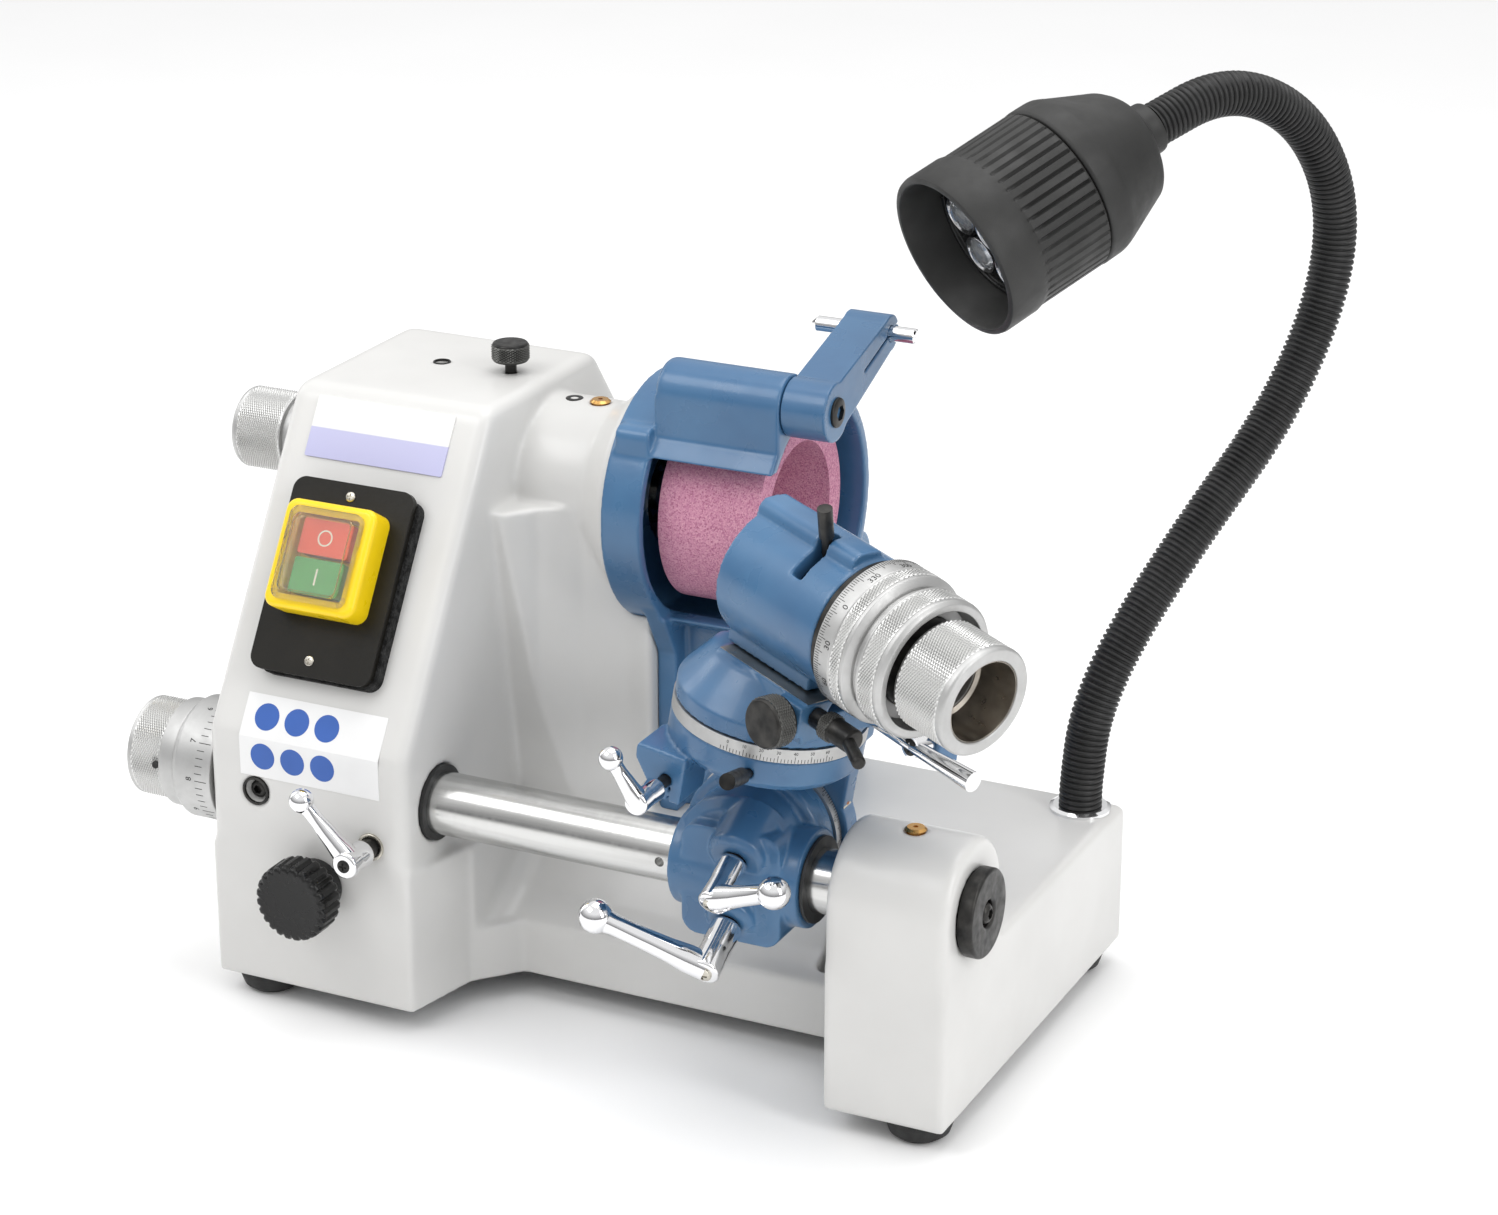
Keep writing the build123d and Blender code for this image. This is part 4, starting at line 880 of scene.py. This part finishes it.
def make_button_marks():
    """The circle on the stop button and the bar on the start button."""
    place = lambda x, y, z: slope_point(SWITCH_X + x, STOP_UP + y, z)
    ring = Shape()
    count = 48
    points, faces = [], []
    for radius, z in ((4.2, 23.9), (4.2, 24.12), (3.4, 24.12), (3.4, 23.9)):
        points += [place(radius * math.cos(2 * math.pi * i / count), radius * math.sin(2 * math.pi * i / count), z)
                   for i in range(count)]
    for a in range(4):
        b = (a + 1) % 4
        for i in range(count):
            n = (i + 1) % count
            faces.append((a * count + i, a * count + n, b * count + n, b * count + i))
    ring.add(points, faces)
    ring.build("stop_button_mark", WHITE, "stop_button", "plate_print", (), None)
    bar = Shape()
    bar.prism(rounded_box(1.0, 8.5, 0.3, 2), lambda x, y, z: slope_point(SWITCH_X + x, START_UP + y, z), 23.9, 24.12)
    bar.build("start_button_mark", WHITE, "start_button", "plate_print", (), None)


def bend_label(x, along, lift):
    """A point of the lower label: along is measured up from the tower's bend, below it on the upright face."""
    if along >= 0:
        return slope_point(x, along, lift)
    return Vector((x, -lift, 148 + along))


def make_label():
    shape = Shape()
    rows = [-20.8, -14, -7, -3, -1.2, 0, 1.2, 3, 8, 15, 22.5]
    points, faces = [], []
    for lift in (0.02, 0.3):
        for along in rows:
            for x in (-386, -305):
                points.append(bend_label(x, along, lift))
    size = len(rows) * 2
    for j in range(len(rows) - 1):
        a = j * 2
        faces.append((size + a, size + a + 1, size + a + 3, size + a + 2))
        faces.append((a, a + 2, a + 3, a + 1))
        faces.append((a, size + a, size + a + 2, a + 2))
        faces.append((a + 1, a + 3, size + a + 3, size + a + 1))
    faces.append((0, 1, size + 1, size))
    end = size - 2
    faces.append((end, size + end, size + end + 1, end + 1))
    shape.add(points, faces)
    shape.build("lower_label", WHITE, "base", "plate_print", (), 20)
    discs = Shape()
    for x in (-372.5, -355, -337.5):
        for along in (11.4, -9.4):
            discs.prism(polygon(7.0, 48), lambda u, v, z: bend_label(x + u, along + v, z), 0.28, 0.38)
    discs.build("lower_label_discs", LABEL_BLUE, "base", "plate_print", (), None)


def make_plate_screws():
    for name, up in (("switch_screw_low", 42), ("switch_screw_high", 127)):
        screw(name, slope_point(SWITCH_X, up, 10), SLOPE_OUT, 2.6, 1.0, "base", SILVER_SCREW)


make_button_marks()
make_label()
make_plate_screws()


# ---- fittings on the castings -----------------------------------------------------------------
def socket_screw(name, origin, axis, radius, height, body):
    return screw(name, origin, axis, radius, height, body, BLACK_STEEL, "hexagon", 0.2)


def collar(name, origin, axis, outer, inner, start, end, material, body, slot):
    cylinder = drum_frame(origin, axis, Z if abs(Vector(axis).z) < 0.9 else X)
    shape = Shape()
    shape.lathe(cylinder, rounded([(inner, start), (outer, start), (outer, end), (inner, end)], 0.4), 64)
    return shape.build(name, material, body, slot)


socket_screw("tower_socket_screw", Vector((-378, 4.5, 118.5)), -Y, 4.6, 2.5, "base")
collar("tower_socket_ring", Vector((-378, 0, 118.5)), -Y, 7.6, 6.2, -1.5, 0.25, BLACK_STEEL, "base", "black_oxide")
collar("tower_lever_ring", Vector((-311, 0, 101)), -Y, 7.2, 5.4, -1.5, 0.9, SILVER_SCREW, "base", "chrome")
socket_screw("dresser_pivot_screw", Vector((-116, 128, 318.6)), X, 7.5, 2.2, "dresser_arm")
collar("drum_plug_ring", Vector((-277, 158, 294.2)), Z, 4.6, 2.0, -1.0, 1.0, BLACK_STEEL, "base", "black_oxide")
collar("tower_hole_ring", Vector((-355, 158, 304)), Z, 4.6, 3.6, -1.0, 0.25, BLACK_STEEL, "base", "black_oxide")


screw("dresser_pinch_screw", Vector((-129, 176, 343.2)), Vector((0, -0.326, 0.945)), 2.0, 0.7, "dresser_arm",
      BLACK_STEEL)


def make_end_cap():
    cylinder = drum_frame(BAR, X, Z)
    shape = Shape()
    shape.lathe(cylinder, rounded([(0, 0.6), (22, 0.6), (22, 7), (21, 8), (8, 8), (6.6, 7.2), (6.4, 3.4),
                                   (0, 3.4)], 0.8))
    shape.build("bar_cap_turned", BLACK_STEEL, "bar", "black_oxide", ("bar_end_cap",), 30)
    socket_screw("bar_cap_screw", BAR + X * 3.4, X, 5.2, 5.6, "bar")


make_end_cap()


# ---- scales on the tilting and turning joints -------------------------------------------------
def make_scales():
    tilt = drum_frame(TILT_POINT, Y, Z)
    shape = Shape()
    for degree in range(-90, 91, 2):
        length = 3.4 if degree % 10 == 0 else 2.0
        shape.tick(tilt, 38, math.radians(degree), 63 - length, 62.9, 0.28)
    for step in range(-2, 3):
        shape.text(tilt, 38, math.radians(step * 20 + 52), 58.9, str(abs(step) * 10), 2.6, 1)
    shape.build("tilt_scale_marks", INK, "block", "black_oxide", (), None)
    # The hole in the tilt scale is a dark ink dish: painted shade inside the hole.
    hole = drum_frame(TILT_POINT + Vector((38 * math.sin(0.62), 60.2, 38 * math.cos(0.62))),
                      Vector((math.sin(0.62), 0, math.cos(0.62))), Y)
    spot = Shape()
    spot.lathe(hole, [(0, -1), (1.6, -1), (1.6, 0.06), (1.1, 0.08), (0, -0.6)], 24)
    spot.build("tilt_scale_hole_shade", INK, "block", "black_oxide", (), 30)
    turn = drum_frame(TILT_POINT + Y * 28.0 + ACROSS * 2.9, UP, -Y)
    scale = Shape()
    for degree in range(-4, 65, 2):
        length = 3.2 if degree % 10 == 0 else 1.9
        scale.tick(turn, 47, math.radians(degree), 75.8, 75.8 + length, 0.28)
    for step in range(0, 7):
        scale.text(turn, 47, math.radians(step * 10), 80.6, str(step * 10), 2.2, 1)
    scale.build("turn_scale_marks", INK, "bracket", "black_oxide", (), None)


def make_vernier():
    """A small cream plate with two copper screws on the rim of the bracket's plate."""
    rim = drum_frame(TILT_POINT, Y, Z)
    shape = Shape()
    steps = 12
    a0, a1 = math.radians(38), math.radians(68)
    points, faces = [], []
    for r in (41.02, 41.8):
        for s in (64.3, 72.5):
            points += [rim(r, a0 + (a1 - a0) * i / steps, s) for i in range(steps + 1)]
    n = steps + 1
    for i in range(steps):
        faces += [(2 * n + i, 2 * n + i + 1, 3 * n + i + 1, 3 * n + i), (i, n + i, n + i + 1, i + 1),
                  (i, i + 1, 2 * n + i + 1, 2 * n + i), (n + i, 3 * n + i, 3 * n + i + 1, n + i + 1)]
    faces += [(0, 2 * n, 3 * n, n), (n - 1, 2 * n - 1, 4 * n - 1, 3 * n - 1)]
    shape.add(points, faces)
    shape.build("vernier_plate", CREAM, "bracket", "satin_alloy", (), 30)
    ticks = Shape()
    for i in range(13):
        angle = math.radians(46 + 14 * i / 12)
        ticks.tick(rim, 41.8, angle, 64.5, 64.5 + (2.6 if i % 3 == 0 else 1.6), 0.22)
    ticks.build("vernier_marks", INK, "bracket", "black_oxide", (), None)
    for name, degree in (("vernier_screw_high", 41), ("vernier_screw_low", 65)):
        a = math.radians(degree)
        out = Vector((math.sin(a), 0, math.cos(a)))
        screw(name, TILT_POINT + out * 41.8 + Y * 69, out, 1.7, 0.7, "bracket", COPPER)


def make_slideway():
    """The bare, ground strips beside the dovetail groove."""
    shape = Shape()
    for low, high in ((12, 27.4), (-27.4, -12)):
        shape.prism([(-13, low), (49.4, low), (49.4, high), (-13, high)], head_point, 28.9, 29.12)
    shape.build("turntable_slideway", WARM, "turntable", "ground_steel", (), None)


make_scales()
make_vernier()
make_slideway()


# ---- lamp -------------------------------------------------------------------------------------
NECK_FOOT = Vector((-19.0, 224.0, 0.0))
NECK_OUT = Vector((math.cos(math.radians(57.8)), math.sin(math.radians(57.8)), 0))
NECK_ROUTE = [(0, 103), (4, 140), (24, 178), (66, 228), (120, 284), (150, 345), (151, 398), (122, 442), (74, 461),
              (24, 444)]
LAMP_DROP = math.radians(22.8)


def neck_point(out, height):
    return NECK_FOOT + NECK_OUT * out + Z * height


LAMP_START = neck_point(*NECK_ROUTE[-1])
LAMP_OUT = (-NECK_OUT * math.cos(LAMP_DROP) - Z * math.sin(LAMP_DROP)).normalized()


def make_lamp_housing():
    cylinder = drum_frame(LAMP_START, LAMP_OUT, Z)
    profile = [(0, -5), (13, -5), (13.6, -3.5), (13.6, 3), (15.5, 6.5), (27, 9.5), (30.5, 13), (41.6, 41), (42.8, 45),
               (43, 57.4), (38, 57.4), (36, 44), (26, 20), (0, 16)]

    def faceted(r, angle, s):
        share = max(0.0, min(1.0, (44 - s) / 20)) * max(0.0, min(1.0, (s - 5) / 6))
        corner = (abs(math.cos(angle * 2)) ** 1.5) if r > 14 else 0
        return r * (1 - 0.075 * share * corner)
    shape = Shape()
    shape.lathe(cylinder, rounded(profile, 2.2, 4), 128, faceted)
    shape.build("lamp_shell_rear", LAMP, "lamp", "black_plastic", ("lamp_housing",), 50)


def make_lamp_barrel():
    cylinder = drum_frame(LAMP_START, LAMP_OUT, Z)
    ribs = 46

    def ribbed(r, angle, s):
        if r < 41.5 or s > 97.5 or s < 58.4:
            return r
        phase = (angle * ribs / (2 * math.pi)) % 1.0
        groove = max(0.0, 1 - abs(phase - 0.5) / 0.17)
        fade = min(1.0, (97.5 - s) / 1.6)
        return r - 1.5 * min(1.0, groove * 1.8) * fade
    outer = [(42.2, 58.2), (42.6, 59)] + [(42.6 - 0.1 * i / 12, 59 + 38.5 * i / 12) for i in range(13)]
    outer += [(42.5, 97.0), (42.8, 98.6), (43.4, 101), (43.5, 118.5), (43.0, 120.4), (41.8, 121), (40.2, 121),
              (39.5, 120.2), (38.2, 92), (36, 88), (36, 84), (38.2, 84), (38.2, 58.2)]
    shape = Shape()
    shape.lathe(cylinder, outer, ribs * 10, ribbed)
    shape.build("lamp_shell_ribbed", LAMP, "lamp", "black_plastic", ("lamp_barrel",), 40)


def make_light_source():
    """The lens: a dark cluster body whose front holds seven clear domes over bright cups."""
    cylinder = drum_frame(LAMP_START, LAMP_OUT, Z)
    front, radius, cup_radius = 97.0, 35.7, 9.6
    body = Shape()
    body.lathe(cylinder, rounded([(0, 76), (radius, 76), (radius, front + 2), (33.6, front + 2), (33, front),
                                  (0, front)], 0.6), 90)
    body.build("lens_body", GLOSS_BLACK, "lamp", "black_plastic", ("lamp_lens",))
    cups, caps = Shape(), Shape()
    for ring_radius, count in ((0, 1), (21.5, 6)):
        for i in range(count):
            cup = drum_frame(cylinder(ring_radius, math.tau * i / count + 0.3, front), LAMP_OUT, Z)
            cups.lathe(cup, rounded([(0, -0.2), (cup_radius + 0.6, -0.2), (cup_radius + 0.6, 2.4), (cup_radius, 2.4),
                                     (cup_radius - 1.4, 0.3), (0, 0.3)], 0.3), 40)
            dome = [(8.1 * math.sin(math.pi / 2 * k / 7), 0.4 + 4.6 * math.cos(math.pi / 2 * k / 7)) for k in range(8)]
            caps.lathe(cup, dome + [(0, 0.4)], 32)
    cups.build("lens_cups", BEARING, "lamp", "chrome", (), 40)
    caps.build("lens_domes", LENS, "lamp", "clear_cover", (), 60)


make_lamp_housing()
make_lamp_barrel()
make_light_source()


# ---- gooseneck --------------------------------------------------------------------------------
def neck_curve(step=0.5):
    """Points evenly spaced along a smooth curve that the neck's route pulls to itself."""
    route = [neck_point(0, 91.4)] + [neck_point(*p) for p in NECK_ROUTE]
    middles = [(a + b) / 2 for a, b in zip(route, route[1:])]
    dense = [route[0] + (middles[0] - route[0]) * i / 20 for i in range(20)]
    for i in range(1, len(route) - 1):
        a, b, c = middles[i - 1], route[i], middles[i]
        dense += [a * (1 - t) ** 2 + b * 2 * t * (1 - t) + c * t ** 2 for t in [j / 60 for j in range(60)]]
    dense += [middles[-1] + (route[-1] - middles[-1]) * i / 20 for i in range(21)]
    points, carried = [dense[0]], 0.0
    for a, b in zip(dense, dense[1:]):
        length = (b - a).length
        while carried + length >= step:
            t = (step - carried) / length
            a = a + (b - a) * t
            length = (b - a).length
            points.append(a)
            carried = 0.0
        carried += length
    return points


def nearest(points, target):
    return min(range(len(points)), key=lambda i: (points[i] - target).length)


def make_hose():
    step, pitch, sides = 0.5, 3.0, 36
    line = neck_curve(step)
    side = Z.cross(NECK_OUT).normalized()
    turns = [(0, 10.0), (0.5, 11.0), (1.0, 11.25), (1.5, 11.25), (2.0, 11.0), (2.5, 10.0)]
    joints = [nearest(line, neck_point(*NECK_ROUTE[i])) for i in (0, 3, 6)] + [len(line) - 1]
    cuts = [0] + [(a + b) // 2 // 6 * 6 for a, b in zip(joints, joints[1:])] + [len(line) - 12]
    covered = [("neck_lower",), ("neck_middle",), ("neck_upper",), ()]
    for k, (first, last) in enumerate(zip(cuts, cuts[1:])):
        points, faces = [], []
        count = 0
        for i in range(first, last + 1):
            before, after = line[max(0, i - 1)], line[min(len(line) - 1, i + 1)]
            tangent = (after - before).normalized()
            out = tangent.cross(side)
            radius = turns[i % len(turns)][1]
            for j in range(sides):
                a = 2 * math.pi * j / sides
                points.append(line[i] + (out * math.cos(a) + side * math.sin(a)) * radius)
            count += 1
        for i in range(count - 1):
            for j in range(sides):
                n = (j + 1) % sides
                faces.append((i * sides + j, i * sides + n, (i + 1) * sides + n, (i + 1) * sides + j))
        faces.append(tuple(reversed(range(sides))))
        faces.append(tuple(range((count - 1) * sides, count * sides)))
        obj = outward(mesh_object("neck_sleeve_%d" % (k + 1), points, faces))
        finished(obj, HOSE, None, covered[k], 60)
        here = joints[k] if k < 3 else len(line) - 14
        a, b = line[max(0, here - 16)], line[min(len(line) - 1, here + 16)]
        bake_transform(obj)


make_hose()


# ---- stage ------------------------------------------------------------------------------------
def make_floor():
    mesh = bpy.data.meshes.new("floor")
    size = 6.0
    mesh.from_pydata([(-size, -size, 0), (size, -size, 0), (size, size, 0), (-size, size, 0)], [], [(0, 1, 2, 3)])
    floor = bpy.data.objects.new("floor", mesh)
    COLLECTION.objects.link(floor)
    mat = new_material("pale_floor", (0.97, 0.97, 0.97), 0.8)
    vary_roughness(mat, noise_of(mat, 5, 2), 0.55, 0.65)
    mesh.materials.append(mat)


def area_light(name, position, target, size, size_y, power, color=(1, 1, 1)):
    light = bpy.data.lights.new(name, "AREA")
    light.shape = "RECTANGLE"
    light.size, light.size_y = size, size_y
    light.energy = power
    light.color = color
    obj = bpy.data.objects.new(name, light)
    obj.location = position
    obj.rotation_euler = (Vector(target) - Vector(position)).to_track_quat("-Z", "Y").to_euler()
    COLLECTION.objects.link(obj)


def make_lights():
    aim = (0, 0, 0.2)
    area_light("key_softbox", (-0.9, -1.2, 1.9), aim, 1.2, 0.9, 11)
    area_light("right_strip", (1.8, -0.6, 1.1), aim, 0.5, 1.5, 12)
    area_light("top_softbox", (0.1, 0.3, 2.2), aim, 1.5, 1.5, 16)
    area_light("left_strip", (-1.8, 0.1, 0.9), aim, 0.5, 1.4, 5)
    world = bpy.data.worlds.new("studio")
    world.use_nodes = True
    tree = world.node_tree
    coord = tree.nodes.new("ShaderNodeTexCoord")
    split = tree.nodes.new("ShaderNodeSeparateXYZ")
    shade = tree.nodes.new("ShaderNodeValToRGB")
    tree.links.new(coord.outputs["Generated"], split.inputs["Vector"])
    tree.links.new(split.outputs["Z"], shade.inputs["Fac"])
    tree.links.new(shade.outputs["Color"], tree.nodes["Background"].inputs["Color"])
    shade.color_ramp.elements[0].position = 0.0
    shade.color_ramp.elements[0].color = (0.22, 0.22, 0.225, 1)
    shade.color_ramp.elements[1].position = 0.55
    shade.color_ramp.elements[1].color = (1, 1, 1, 1)
    tree.nodes["Background"].inputs["Strength"].default_value = 0.95
    bpy.context.scene.world = world


def make_camera():
    camera = bpy.data.cameras.new("camera")
    camera.lens = 89.88
    camera.sensor_width = 36
    obj = bpy.data.objects.new("camera", camera)
    obj.location = placed((598.2, -1447.3, 881.0))
    obj.rotation_euler = (math.radians(90 - 21.0), 0, math.radians(25.8))
    COLLECTION.objects.link(obj)
    bpy.context.scene.camera = obj


make_floor()
make_lights()
make_camera()
bpy.context.scene.view_settings.view_transform = "Standard"
